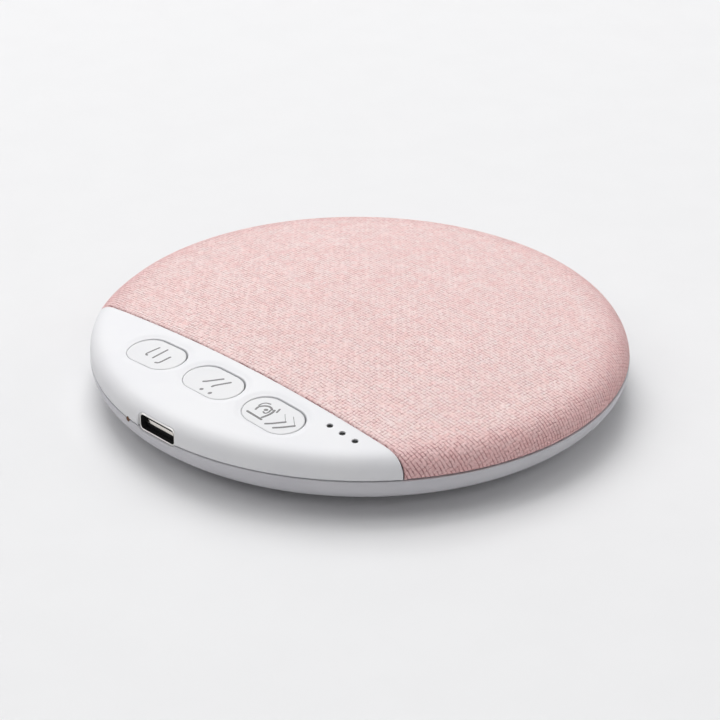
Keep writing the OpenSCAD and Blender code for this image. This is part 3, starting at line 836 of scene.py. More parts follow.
class Nodes:
    """Nodes of one tree, all of them made by one method."""

    def __init__(self, tree: bpy.types.NodeTree) -> None:
        """Start with an empty tree."""
        self.tree = tree
        self.tree.nodes.clear()

    def node(self, kind: str, settings: dict | None = None, sockets: dict | None = None) -> bpy.types.Node:
        """Make a node.

        Args:
            kind: Blender's type name.
            settings: Properties, which are set first.
            sockets: Values or links by the input's name or number.

        Returns:
            The new node.
        """
        made = self.tree.nodes.new(kind)
        for name, setting in (settings or {}).items():
            setattr(made, name, setting)
        for name, value in (sockets or {}).items():
            self.feed(made.inputs[name], value)
        return made

    def feed(self, socket: bpy.types.NodeSocket, value: object) -> None:
        """Link a value to a socket, or set a plain number or colour on it."""
        if isinstance(value, Value):
            self.tree.links.new(value.socket, socket)
        elif isinstance(value, bpy.types.NodeSocket):
            self.tree.links.new(value, socket)
        elif socket.type == "RGBA" and len(value) == 3:
            socket.default_value = (*value, 1.0)
        else:
            socket.default_value = value

    def math(self, operation: str, *values: Value | float) -> Value:
        """The result of a Math node."""
        made = self.node("ShaderNodeMath", {"operation": operation}, dict(enumerate(values)))
        return Value(self, made.outputs[0])

    def span(self, share: Value, ends: tuple[float, float]) -> Value:
        """The value between two ends, by a share from 0 to 1."""
        return ends[0] + (ends[1] - ends[0]) * share

    def total(self, shares: Sequence[float], values: Sequence[Value]) -> Value:
        """The sum of values, each times its share."""
        first, *rest = (share * value for share, value in zip(shares, values))
        return sum(rest, first)

    def place(self) -> bpy.types.NodeSocket:
        """Object coordinates, in metres."""
        return self.node("ShaderNodeTexCoord").outputs["Object"]

    def parts(self, vector: bpy.types.NodeSocket) -> tuple[Value, Value, Value]:
        """The three parts of a vector."""
        made = self.node("ShaderNodeSeparateXYZ", None, {0: vector})
        return tuple(Value(self, socket) for socket in made.outputs)

    def vector(self, x: Value | float, y: Value | float, z: Value | float = 0.0) -> bpy.types.NodeSocket:
        """A vector of three values."""
        return self.node("ShaderNodeCombineXYZ", None, {0: x, 1: y, 2: z}).outputs[0]

    def noise(self, vector: bpy.types.NodeSocket, scale: float, detail: float = 2.0) -> Value:
        """Smooth noise from 0 to 1 with so many features to a unit."""
        sockets = {"Vector": vector, "Scale": scale, "Detail": detail, "Roughness": 0.5}
        return Value(self, self.node("ShaderNodeTexNoise", None, sockets).outputs[0])

    def chance(self, x: Value | float, y: Value | float, seed: float) -> Value:
        """A random number from 0 to 1 for each pair of values."""
        made = self.node("ShaderNodeTexWhiteNoise", {"noise_dimensions": "3D"}, {0: self.vector(x, y, seed)})
        return Value(self, made.outputs[0])

    def blend(self, share: Value, low: object, high: object) -> bpy.types.NodeSocket:
        """A colour between two, by a share from 0 to 1."""
        made = self.node("ShaderNodeMix", {"data_type": "RGBA"}, {0: share, 6: low, 7: high})
        return made.outputs[2]

    def bump(self, height: Value, depth: float, strength: float = 1.0) -> bpy.types.NodeSocket:
        """Normals of a relief: height from 0 to 1 stands for so many millimetres."""
        sockets = {"Strength": strength, "Distance": depth * MM, "Height": height}
        return self.node("ShaderNodeBump", None, sockets).outputs[0]


class Shader(Nodes):
    """Nodes of one material round its Principled shader."""

    def __init__(self, name: str) -> None:
        """Make the material with a bare Principled shader."""
        self.material = bpy.data.materials.new(name)
        self.material.use_nodes = True
        super().__init__(self.material.node_tree)
        self.surface = self.node("ShaderNodeBsdfPrincipled")
        self.node("ShaderNodeOutputMaterial", None, {"Surface": self.surface.outputs[0]})

    def dress(self, sockets: dict) -> None:
        """Set or link sockets of the Principled shader by name."""
        for name, value in sockets.items():
            self.feed(self.surface.inputs[name], value)


@dataclass(frozen=True)
class Finish:
    """A surface finish, made into a material once."""

    name: str

    def material(self) -> bpy.types.Material:
        """The finish's material."""
        found = bpy.data.materials.get(self.name)
        if found is None:
            shader = Shader(self.name)
            self.paint(shader)
            found = shader.material
        return found

    def paint(self, shader: Shader) -> None:
        """Add the finish's nodes to a shader."""
        raise NotImplementedError

    def on(self, piece: bpy.types.Object) -> None:
        """Give a piece this finish alone."""
        piece.data.materials.clear()
        piece.data.materials.append(self.material())


@dataclass(frozen=True)
class Grained(Finish):
    """Plastic, rubber, paper or foam with a fine grain: sizes and depths in millimetres."""

    light: Colour = (0.8, 0.8, 0.8)
    dark: Colour = (0.7, 0.7, 0.7)
    roughness: tuple[float, float] = (0.35, 0.5)
    grain: float = 0.3
    depth: float = 0.01
    cloud: float = 12.0
    cloud_range: tuple[float, float] = (0.3, 0.7)
    shine: float = 0.5

    def paint(self, shader: Shader) -> None:
        """Cloudy colour, and a grain that feeds the roughness and the relief."""
        place = shader.place()
        clouds = shader.noise(place, 1 / (self.cloud * MM), 3.0).between(*self.cloud_range)
        grain = shader.noise(place, 1 / (self.grain * MM))
        shader.dress({
            "Base Color": shader.blend(clouds, self.dark, self.light),
            "Roughness": shader.span(grain, self.roughness),
            "Normal": shader.bump(grain, self.depth),
            "Specular IOR Level": self.shine,
        })


@dataclass(frozen=True)
class Brushed(Finish):
    """Metal with fine drawn lines along one axis."""

    light: Colour = (0.75, 0.75, 0.75)
    dark: Colour = (0.6, 0.6, 0.6)
    roughness: tuple[float, float] = (0.22, 0.42)
    line: float = 0.05
    stretch: tuple[float, float, float] = (1.0, 0.04, 1.0)
    depth: float = 0.003

    def paint(self, shader: Shader) -> None:
        """Noise pulled out along the drawn lines."""
        pulled = shader.node("ShaderNodeMapping", None, {"Vector": shader.place(), "Scale": self.stretch})
        lines = shader.noise(pulled.outputs[0], 1 / (self.line * MM), 3.0)
        shader.dress({
            "Base Color": shader.blend(lines, self.dark, self.light),
            "Roughness": shader.span(lines, self.roughness),
            "Normal": shader.bump(lines, self.depth),
            "Metallic": 1.0,
        })


@dataclass(frozen=True)
class TwoLeads(Finish):
    """Jackets of a pair of leads: one colour up to an X, another past it."""

    first: Colour = (0.5, 0.02, 0.02)
    second: Colour = (0.02, 0.02, 0.02)
    middle: float = 0.0
    roughness: tuple[float, float] = (0.4, 0.55)
    grain: float = 0.2
    depth: float = 0.01

    def paint(self, shader: Shader) -> None:
        """Split the colours at the middle, with a fine grain in the jacket."""
        place = shader.place()
        x, _, _ = shader.parts(place)
        grain = shader.noise(place, 1 / (self.grain * MM))
        shader.dress({
            "Base Color": shader.blend(x > self.middle * MM, self.first, self.second),
            "Roughness": shader.span(grain, self.roughness),
            "Normal": shader.bump(grain, self.depth),
        })


@dataclass(frozen=True)
class Laminate(Finish):
    """Circuit board: green resist over a net of fine traces."""

    resist: Colour = (0.01, 0.09, 0.04)
    trace: Colour = (0.03, 0.17, 0.07)
    pitch: float = 1.3
    line: tuple[float, float] = (0.06, 0.1)
    roughness: tuple[float, float] = (0.28, 0.43)
    fibre: float = 0.25
    depth: float = 0.02

    def paint(self, shader: Shader) -> None:
        """Traces are the thin borders of a cell pattern."""
        place = shader.place()
        cells = shader.node(
            "ShaderNodeTexVoronoi",
            {"feature": "DISTANCE_TO_EDGE"},
            {"Vector": place, "Scale": 1 / (self.pitch * MM)},
        )
        line = 1 - Value(shader, cells.outputs[0]).between(*self.line)
        fibre = shader.noise(place, 1 / (self.fibre * MM))
        shader.dress({
            "Base Color": shader.blend(line, self.resist, self.trace),
            "Roughness": shader.span(fibre, self.roughness),
            "Normal": shader.bump(line, self.depth),
        })


@dataclass(frozen=True)
class Weave(Finish):
    """Plain weave of mixed pink yarns, drawn on the flat cut of the cloth; sizes in millimetres.

    The scales count features to a millimetre, or to a yarn across and along it. light_parts are the shares
    of yarn tone, crossing, fuzz and patches in the lightness, and relief_parts those of the yarns between
    grooves, of their round and of fuzz in the relief. The rim span is a range of distances from the middle,
    where the grooves change and a darker pink is painted as shade, and the seam span is one of distances in
    front of it, where painted shade darkens the cloth.
    """

    flat_map: str = "flat_cut"
    pitch: float = 0.69
    pale: Colour = (1.0, 0.82, 0.8)
    rose: Colour = (1.0, 0.68, 0.66)
    # A darker, deeper pink painted as shade over the rim and along the seam.
    flush: Colour = (0.74, 0.34, 0.35)
    deep: Colour = (0.6, 0.22, 0.24)
    roughness: tuple[float, float] = (0.82, 0.94)
    shine: float = 0.15
    sheen: float = 0.2
    sheen_roughness: float = 0.45
    sheen_tint: Colour = (1.0, 0.93, 0.91)
    sway: float = 0.7
    sway_scale: tuple[float, float] = (0.35, 1.1)
    fuzz_scale: float = 2.6
    patch_scale: float = 0.4
    tone_scale: tuple[float, float] = (5.3, 0.14)
    tone_parts: tuple[float, float] = (0.3, 0.9)
    light_parts: tuple[float, ...] = (0.5, 0.1, 0.3, 0.65)
    light_range: tuple[float, float] = (0.43, 1.18)
    groove_scale: tuple[float, float] = (3.7, 0.55)
    groove_edge: tuple[float, float] = (0.35, 1.0)
    groove_runs: tuple[float, float] = (0.3, 0.68)
    groove_full: float = 1.35
    gap_share: float = 0.8
    relief: float = 0.42
    relief_parts: tuple[float, ...] = (0.7, 0.3, 0.3)
    relief_strength: float = 0.8
    # Spans of the rim, where the grooves change and a darker pink is painted as shade, and of the seam, where
    # painted shade darkens the cloth.
    stretched: tuple[float, float] = (42.0, 51.0)
    tucked: tuple[float, float] = (28.5, 29.6)
    # Shares of the painted shade pink: over the rim, partly also for the stretched weave, and by the seam.
    rim_flush: float = 0.5
    seam_flush: float = 0.4
    rim_rows: float = 0.8
    rim_columns: float = -0.3

    def paint(self, shader: Shader) -> None:
        """Cross two sets of yarns.

        Columns of yarn count along X and rows along Y, and a row lies over a column where their
        numbers add up to an odd one. Each yarn is round across and has a tone of its own, which drifts
        along its length. Over the rim a darker, deeper pink is painted as shade where the cloth turns down
        away from the light, partly also for its stretched weave there. Along the seam the same pink is
        painted shade in the crease. Dark grooves between neighbours come and go, deeper along the rows.
        """
        source = shader.node("ShaderNodeUVMap", {"uv_map": self.flat_map}).outputs[0]
        x, y, _ = shader.parts(source)
        x, y = x * (1 / MM), y * (1 / MM)
        slow, fast = self.sway_scale
        u = x * (1 / self.pitch) + self.wander(shader, x * slow, y * fast, seed=0.0)
        v = y * (1 / self.pitch) + self.wander(shader, x * fast, y * slow, seed=7.0)
        column, row = u.floor(), v.floor()
        across, along = u - column - 0.5, v - row - 0.5
        a_cross, b_cross = across * across, along * along
        row_over = (column + row) % 2.0
        column_tone = self.yarn_tone(shader, column, v, seed=3.1)
        row_tone = self.yarn_tone(shader, row, u, seed=11.7)
        tone = column_tone + row_over * (row_tone - column_tone)
        yarn_round = 1 - 4 * (a_cross + row_over * (b_cross - a_cross))
        crossing = shader.chance(column, row, seed=2.0)
        fuzz = shader.noise(shader.vector(x, y), self.fuzz_scale, 3.0)
        patch = shader.noise(shader.vector(x, y, 3.0), self.patch_scale)
        rim = ((x * x + y * y) ** 0.5).between(*self.stretched)
        # Near the seam, where painted shade darkens the cloth in the crease.
        tuck = (0 - y).between(*self.tucked)
        row_gap = self.groove(shader, b_cross, (v + 0.5).floor(), u, seed=5.0)
        column_gap = self.groove(shader, a_cross, (u + 0.5).floor(), v, seed=9.0)
        gap = row_gap * (1 + self.rim_rows * rim) + column_gap * (1 + self.rim_columns * rim)
        gap = gap.between(0.0, self.groove_full)
        height = shader.total(self.relief_parts, (1 - gap, yarn_round, fuzz))
        light = shader.total(self.light_parts, (tone, crossing, fuzz, patch))
        # Painted shade: darker pink over the rim, partly also for the stretched weave, and along the seam.
        shade_share = self.rim_flush * rim + self.seam_flush * tuck * (1 - rim)
        yarn = shader.blend(light.between(*self.light_range), self.rose, self.pale)
        yarn = shader.blend(shade_share, yarn, self.flush)
        shader.dress({
            "Base Color": shader.blend(gap * self.gap_share, yarn, self.deep),
            "Roughness": shader.span(fuzz, self.roughness),
            "Normal": shader.bump(height, self.relief, self.relief_strength),
            "Specular IOR Level": self.shine,
            "Sheen Weight": self.sheen,
            "Sheen Roughness": self.sheen_roughness,
            "Sheen Tint": self.sheen_tint,
        })

    def wander(self, shader: Shader, x: Value, y: Value, seed: float) -> Value:
        """How far yarns sway to either side, counted in yarns."""
        return self.sway * (shader.noise(shader.vector(x, y, seed), 1.0) - 0.5)

    def groove(self, shader: Shader, cross: Value, number: Value, length: Value, seed: float) -> Value:
        """Darkness between two yarns, which comes and goes along them."""
        apart, drift = self.groove_scale
        run = shader.noise(shader.vector(number * apart + seed, length * drift), 1.0)
        return (4 * cross).between(*self.groove_edge) * run.between(*self.groove_runs)

    def yarn_tone(self, shader: Shader, number: Value, length: Value, seed: float) -> Value:
        """Tone of a yarn: its own chance, and a drift along its length."""
        apart, drift = self.tone_scale
        own = shader.chance(number, 0.0, seed)
        drifting = shader.noise(shader.vector(number * apart + seed, length * drift), 1.0)
        return shader.total(self.tone_parts, (own, drifting))


WHITE = Grained(
    "white_plastic_satin", shade(228, 228, 230), shade(225, 225, 228), (0.42, 0.52), 0.22, 0.004, shine=0.35
)
# Painted shade: the lower half's white is a darker, lavender-tinted copy of the panel's white, for the base
# that faces down.
SHADED_LOWER_WHITE = Grained(
    "lower_plastic_painted_shade", shade(203, 202, 206), shade(199, 198, 203), (0.42, 0.52), 0.22, 0.004, shine=0.35
)
KEY_WHITE = Grained(
    "key_plastic_satin", shade(226, 226, 227), shade(223, 223, 225), (0.45, 0.55), 0.22, 0.004, shine=0.3
)
CLOTH = Weave("pink_weave")
MARK_INK = Grained("mark_ink", shade(116, 115, 115), shade(106, 105, 105), (0.5, 0.6), 0.1, 0.004)
FOOT_RUBBER = Grained("foot_rubber", shade(216, 216, 217), shade(205, 205, 206), (0.7, 0.85), 0.15, 0.02)
PORT_STEEL = Brushed("port_steel", shade(252, 249, 244), shade(240, 237, 232), (0.3, 0.45))
# Painted shade: black for the dark inside of the charging port.
PORT_SHADE_BLACK = Grained("port_painted_shade", shade(14, 14, 15), shade(8, 8, 9), (0.5, 0.65), 0.12, 0.01, shine=0.2)
TIP_STEEL = Brushed("tip_steel", shade(216, 212, 205), shade(208, 203, 196), (0.08, 0.16))
# Painted shade: dark discs in the indicator holes.
HOLE_SHADE_DARK = Grained("indicator_hole_shade", shade(12, 12, 13), shade(7, 7, 8), (0.4, 0.5), 0.2, 0.004, shine=0.1)
# Painted shade: dark brown plug for the small hole's dark inside.
PIN_HOLE_SHADE = Grained("pin_hole_shade", shade(104, 72, 52), shade(84, 58, 42), (0.5, 0.65), 0.2, 0.01, shine=0.2)
FLOOR_PAPER = Grained(
    "floor_paper", shade(233, 233, 234), shade(232, 232, 233), (0.85, 0.95), 0.5, 0.005, shine=0.1
)
DRIVER_LEADS = TwoLeads("driver_lead_jackets", first=(0.75, 0.25, 0.02), middle=12.0)


class InnerFinish(Enum):
    """Finishes of the record's material slots that pieces inside the case have."""

    dark_plastic = Grained("dark_plastic", shade(52, 52, 54), shade(40, 40, 42), (0.5, 0.65), 0.25, 0.02)
    screw_steel = Brushed("screw_steel", shade(190, 190, 192), shade(150, 150, 153))
    board_laminate = Laminate("board_laminate")
    chip_black = Grained("chip_black", shade(38, 38, 40), shade(28, 28, 30), (0.5, 0.65), 0.12, 0.01)
    lamp_ivory = Grained("lamp_ivory", shade(238, 226, 178), shade(228, 212, 158), (0.25, 0.35), 0.3, 0.005)
    black_rubber = Grained("black_rubber", shade(34, 34, 35), shade(24, 24, 25), (0.6, 0.75), 0.2, 0.02)
    contact_gold = Brushed("contact_gold", (0.95, 0.68, 0.25), (0.78, 0.52, 0.17))
    battery_foil = Brushed("battery_foil", shade(205, 206, 210), shade(170, 172, 178), (0.3, 0.5), 0.4)
    pad_foam = Grained("pad_foam", shade(208, 196, 150), shade(188, 174, 128), (0.85, 0.95), 0.35, 0.08)
    lead_jacket = TwoLeads("battery_lead_jackets", middle=-11.75)
    driver_steel = Brushed("driver_steel", shade(168, 168, 170), shade(128, 128, 131))
    coil_copper = Brushed(
        "coil_copper", (0.85, 0.4, 0.2), (0.62, 0.26, 0.12), line=0.12, stretch=(0.04, 0.04, 1.0)
    )
    cone_paper = Grained("cone_paper", shade(60, 58, 56), shade(44, 42, 41), (0.85, 0.95), 0.3, 0.03)


def add_piece(
    surface: Surface,
    name: str,
    finish: Finish,
    stands_for: Sequence[str] = (),
    body: str = CASE,
    flat_map: str | None = None,
) -> bpy.types.Object:
    """Make a piece, dress it and tie it to its body.

    Args:
        surface: Its faces.
        name: Its name.
        finish: Its finish.
        stands_for: CAD nodes that it hides.
        body: The body that it moves with.
        flat_map: UV map with the place in the flat cut.

    Returns:
        The new piece.
    """
    piece = surface.piece(name, flat_map)
    finish.on(piece)
    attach(piece, body)
    if stands_for:
        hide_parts(*stands_for)
    return piece


@dataclass
class PortOpening:
    """Round-cornered hole for the port and the small one beside it, which both halves of the case share."""

    middle_z: float
    length: float
    width: float
    corner: float = 1.2
    pin_x: float = -8.0
    pin_r: float = 0.5

    @classmethod
    def from_frame(cls, gap: tuple[float, float] = (0.42, 0.12)) -> "PortOpening":
        """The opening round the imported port, with its clearances along X and in height."""
        low, high = node_box("usb_shell")
        return cls((low[2] + high[2]) / 2, high[0] - low[0] + 2 * gap[0], high[2] - low[2] + 2 * gap[1])

    @property
    def reach(self) -> float:
        """Distance of the corners' middles from the port's middle, along X."""
        return self.length / 2 - self.corner

    @property
    def rise(self) -> float:
        """Distance of the corners' middles from the port's middle, in height."""
        return self.width / 2 - self.corner

    def upper_line(self, low_z: float) -> tuple[Array, Array]:
        """X and height along the part of the port's hole above a height, from -X to +X.

        The line goes up what is left of the lower corner, then the side, the upper corner and the top.

        Args:
            low_z: Height at which it starts and ends, next to the lower corners.

        Returns:
            X and height of its points.
        """
        fall = np.linspace(math.asin((self.middle_z - self.rise - low_z) / self.corner), 0, 4)[:-1]
        side = np.linspace(-self.rise, self.rise, 7)[:-1]
        turn = quarter_turn(14)
        lean = np.concatenate([np.cos(fall), np.ones_like(side), np.cos(turn)])
        left_x = -self.reach - self.corner * lean
        left_z = np.concatenate([
            -self.rise - self.corner * np.sin(fall), side, self.rise + self.corner * np.sin(turn),
        ])
        top_x = np.linspace(-self.reach, self.reach, 16)[1:-1]
        x = np.concatenate([left_x, top_x, -left_x[::-1]])
        z = np.concatenate([left_z, np.full_like(top_x, self.width / 2), left_z[::-1]])
        return x, self.middle_z + z

    def pin_line(self, parting_z: float, low_z: float) -> tuple[Array, Array]:
        """X and height along the part of the small hole above a height, from -X to +X."""
        start = math.asin((low_z - parting_z) / self.pin_r)
        turn = np.linspace(math.pi - start, start, 15)
        return self.pin_x + self.pin_r * np.cos(turn), parting_z + self.pin_r * np.sin(turn)

    def rim_height(self, x: Array, parting_z: float) -> Array:
        """Height of the lower half's rim, cut by the lower parts of both holes."""
        past = np.maximum(np.abs(x) - self.reach, 0)
        port = self.middle_z - self.rise - np.sqrt(np.maximum(self.corner**2 - past**2, 0))
        port = np.where(past < self.corner, port, parting_z)
        pin = parting_z - np.sqrt(np.maximum(self.pin_r**2 - (x - self.pin_x) ** 2, 0))
        return np.minimum(np.minimum(port, pin), parting_z)


@dataclass
class KeySizes:
    """Sizes of the keys, their openings and the indicator holes."""

    opening: tuple[float, float] = (12.7, 8.1)
    gap: float = 0.16
    opening_round: float = 0.16
    cap_round: float = 0.2
    dish_depth: float = 0.2
    dish_width: float = 1.5
    dish_first: float = 0.61
    dish_step: float = 0.19
    flange: float = 0.7
    flange_depth: float = 1.8
    depth: float = 2.6
    stem_d: float = 3.5
    stem_sink: float = 0.4
    dot_d: float = 1.12
    dot_round: float = 0.12
    dot_pitch: float = 3.05
    dot_middle: tuple[float, float] = (27.85, -31.9)

    def middle(self, key: Key) -> Array:
        """Plan place of a key's middle."""
        low, high = node_box(key.node)
        return (low[:2] + high[:2]) / 2

    def dot_places(self) -> list[Array]:
        """Plan places of the indicator holes."""
        return [np.array(self.dot_middle) + [step * self.dot_pitch, 0] for step in (-1, 0, 1)]


@dataclass
class ControlPanel:
    """White panel in front of the seam, with the openings for the keys, the lamps and the port."""

    form: CaseForm
    keys: KeySizes
    port: PortOpening
    seam_gap: float = 0.2
    seam_round: float = 0.25
    rim_round: float = 0.16
    port_round: float = 0.2
    pin_round: float = 0.1
    lip_depth: float = 0.9
    lip_rise: float = 0.8
    lip_gap: float = 0.2
    lip_t: float = 1.2
    lip_round: float = 0.1
    lip_run: tuple[float, float] = (7.5, 348.0)
    # Discs of painted shade in the indicator holes.
    window_sink: float = 0.2
    window_t: float = 0.8
    window_gap: float = 0.01
    # A dark brown plug of painted shade in the small hole.
    plug_sink: float = 0.04
    plug_l: float = 1.0
    plug_gap: float = 0.02
    fill_x: float = 45.0
    fill_back: float = -27.0

    def outer_edge(self) -> Edge:
        """Edge along the rim from -X to +X, round both holes, and back along the seam."""
        form = self.form
        low, _ = node_box("cloth_cover")
        rim_angle = float(form.angle_at_height(np.array(low[2])))
        rim_r = form.rim_r + form.shoulder_r * math.sin(rim_angle)
        seam = seam_line(form, low[1] - self.seam_gap, rim_angle)
        corner_x = float(seam[0, 0])
        pin_x, pin_z = self.port.pin_line(form.parting_z, low[2])
        port_x, port_z = self.port.upper_line(low[2])
        runs = [
            (self.rim_run(-corner_x, pin_x[0], 40, rim_r)[1:], self.rim_round),
            (form.unroll_front(pin_x, pin_z), self.pin_round),
            (self.rim_run(pin_x[-1], port_x[0], 8, rim_r)[1:], self.rim_round),
            (form.unroll_front(port_x, port_z), self.port_round),
            (self.rim_run(port_x[-1], corner_x, 48, rim_r)[1:], self.rim_round),
            (form.unroll(seam), self.seam_round),
        ]
        loop = np.concatenate([points for points, _ in runs])
        rounds = np.concatenate([np.full(len(points), radius) for points, radius in runs])
        return Edge(loop, rounds)

    def rim_run(self, start_x: float, end_x: float, steps: int, rim_r: float) -> Array:
        """Points along the panel's lower edge between two X, without the last one."""
        turn = np.linspace(math.asin(start_x / rim_r), math.asin(end_x / rim_r), steps + 1)[:-1]
        length = float(self.form.length_at(self.form.angle_at_radius(np.array(rim_r))))
        return length * ways_round(turn)

    def hole_edges(self) -> list[Edge]:
        """Edges of the key openings and of the indicator holes."""
        edges = []
        for key in Key:
            loop = self.form.unroll(stadium(*self.keys.opening) + self.keys.middle(key))
            edges.append(
                Edge(loop, self.keys.opening_round, True, self.keys.dish_depth, self.keys.dish_width)
            )
        turn = full_turn(28)
        circle = self.keys.dot_d / 2 * np.column_stack([np.cos(turn), np.sin(turn)])
        for middle in self.keys.dot_places():
            edges.append(Edge(self.form.unroll(circle + middle), self.keys.dot_round, hole=True))
        return edges

    def lip(self) -> Surface:
        """Locating lip inside the lower half: a round-cornered bar carried round Z, open at both holes."""
        form = self.form
        low, high = form.parting_z - self.lip_depth, form.parting_z + self.lip_rise
        middle = (form.half_w - form.wall - self.lip_gap - self.lip_t / 2, (low + high) / 2)
        loop = rounded_bar(self.lip_t, high - low, self.lip_round) + middle
        turn = np.radians(np.linspace(*self.lip_run, 240))
        first, last = (np.array([math.cos(t), math.sin(t), 0.0]) for t in turn[[0, -1]])
        return tube(rings_round(loop[:, 0], turn[:, None], loop[:, 1]), -first, last)

    def build(self) -> None:
        """The panel with its lip, in place of the upper half of the case, and what fills its small holes."""
        form = self.form
        low, high = (-self.fill_x, -form.cap_length), (self.fill_x, self.fill_back)
        fill = dome_fill(form, low, high, step=1.3, clear=0.5, ring_step=0.42, columns=260)
        fill = np.concatenate([fill, self.dish_fill()])
        made = Skin(form, [self.outer_edge(), *self.hole_edges()], fill).plate(form.wall)
        made.add(self.lip())
        self.build_windows()
        add_piece(made, "control_panel", WHITE, ["top_shell"])

    def dish_fill(self) -> Array:
        """Places on loops round each key's opening, where the panel sags."""
        length, width = self.keys.opening
        step = self.keys.dish_step
        steps = np.arange(self.keys.dish_first, self.keys.dish_width + step, step)
        loops = [stadium(length + 2 * s, width + 2 * s) + self.keys.middle(key) for key in Key for s in steps]
        return self.form.unroll(np.concatenate(loops))

    def build_windows(self) -> None:
        """Painted shade in the small holes: dark discs in the indicator holes, a dark brown plug by the port.
        """
        # Painted shade: dark discs fill the indicator holes.
        shade_discs = Surface()
        for middle in self.keys.dot_places():
            top = float(self.form.dome_height(middle[None])[0]) - self.window_sink
            shade_discs.add(peg(middle, self.keys.dot_d / 2 - self.window_gap, top - self.window_t, top))
        add_piece(shade_discs, "indicator_hole_shade_discs", HOLE_SHADE_DARK)
        # Painted shade: a dark brown plug, nearly flush, in the small hole by the port.
        front = -math.sqrt(self.form.half_w**2 - self.port.pin_x**2) + self.plug_sink
        middle = (self.port.pin_x, self.form.parting_z)
        shade_plug = peg(middle, self.port.pin_r - self.plug_gap, front, front + self.plug_l, along_y=True)
        add_piece(shade_plug, "pin_hole_shade_plug", PIN_HOLE_SHADE)


def seam_line(form: CaseForm, seam_y: float, rim_angle: float) -> Array:
    """Plan points along the seam from +X to -X.

    It is straight over the cap and bends forward with the square of the way down both shoulders.

    Args:
        form: The case.
        seam_y: Y of the straight stretch.
        rim_angle: Angle of the arc from straight up at which the seam ends.

    Returns:
        (n, 2) points.
    """
    angle = np.linspace(rim_angle, form.cap_angle, 14)
    radius = form.rim_r + form.shoulder_r * np.sin(angle)
    down = (angle - form.cap_angle) / (rim_angle - form.cap_angle)
    shoulder_y = seam_y - SEAM_BEND * down**2
    shoulder_x = np.sqrt(radius**2 - shoulder_y**2)
    cap_x = np.linspace(shoulder_x[-1], -shoulder_x[-1], 90)[1:-1]
    x = np.concatenate([shoulder_x, cap_x, -shoulder_x[::-1]])
    y = np.concatenate([shoulder_y, np.full_like(cap_x, seam_y), shoulder_y[::-1]])
    return np.column_stack([x, y])


def lathe(profile: Array, columns: int, creases: Sequence[int] = ()) -> Surface:
    """Turn a closed profile round Z: each (radius, height) row becomes a ring.

    Args:
        profile: (n, 2) radii and heights, with the last row on the first.
        columns: Count of steps round the axis.
        creases: Rows with a sharp edge.

    Returns:
        The closed surface.
    """
    points = rings_round(profile[:, :1], full_turn(columns), profile[:, 1:])
    made = Surface()
    index = made.add_grid(points, creases=creases)
    last = index[-1]
    made.faces = [np.where(faces >= last[0], faces - last[0], faces) for faces in made.faces]
    made.points = [points[:-1].reshape(-1, 3)]
    made.flats = [np.zeros((last[0], 2))]
    made.size = int(last[0])
    return made.turned_out()


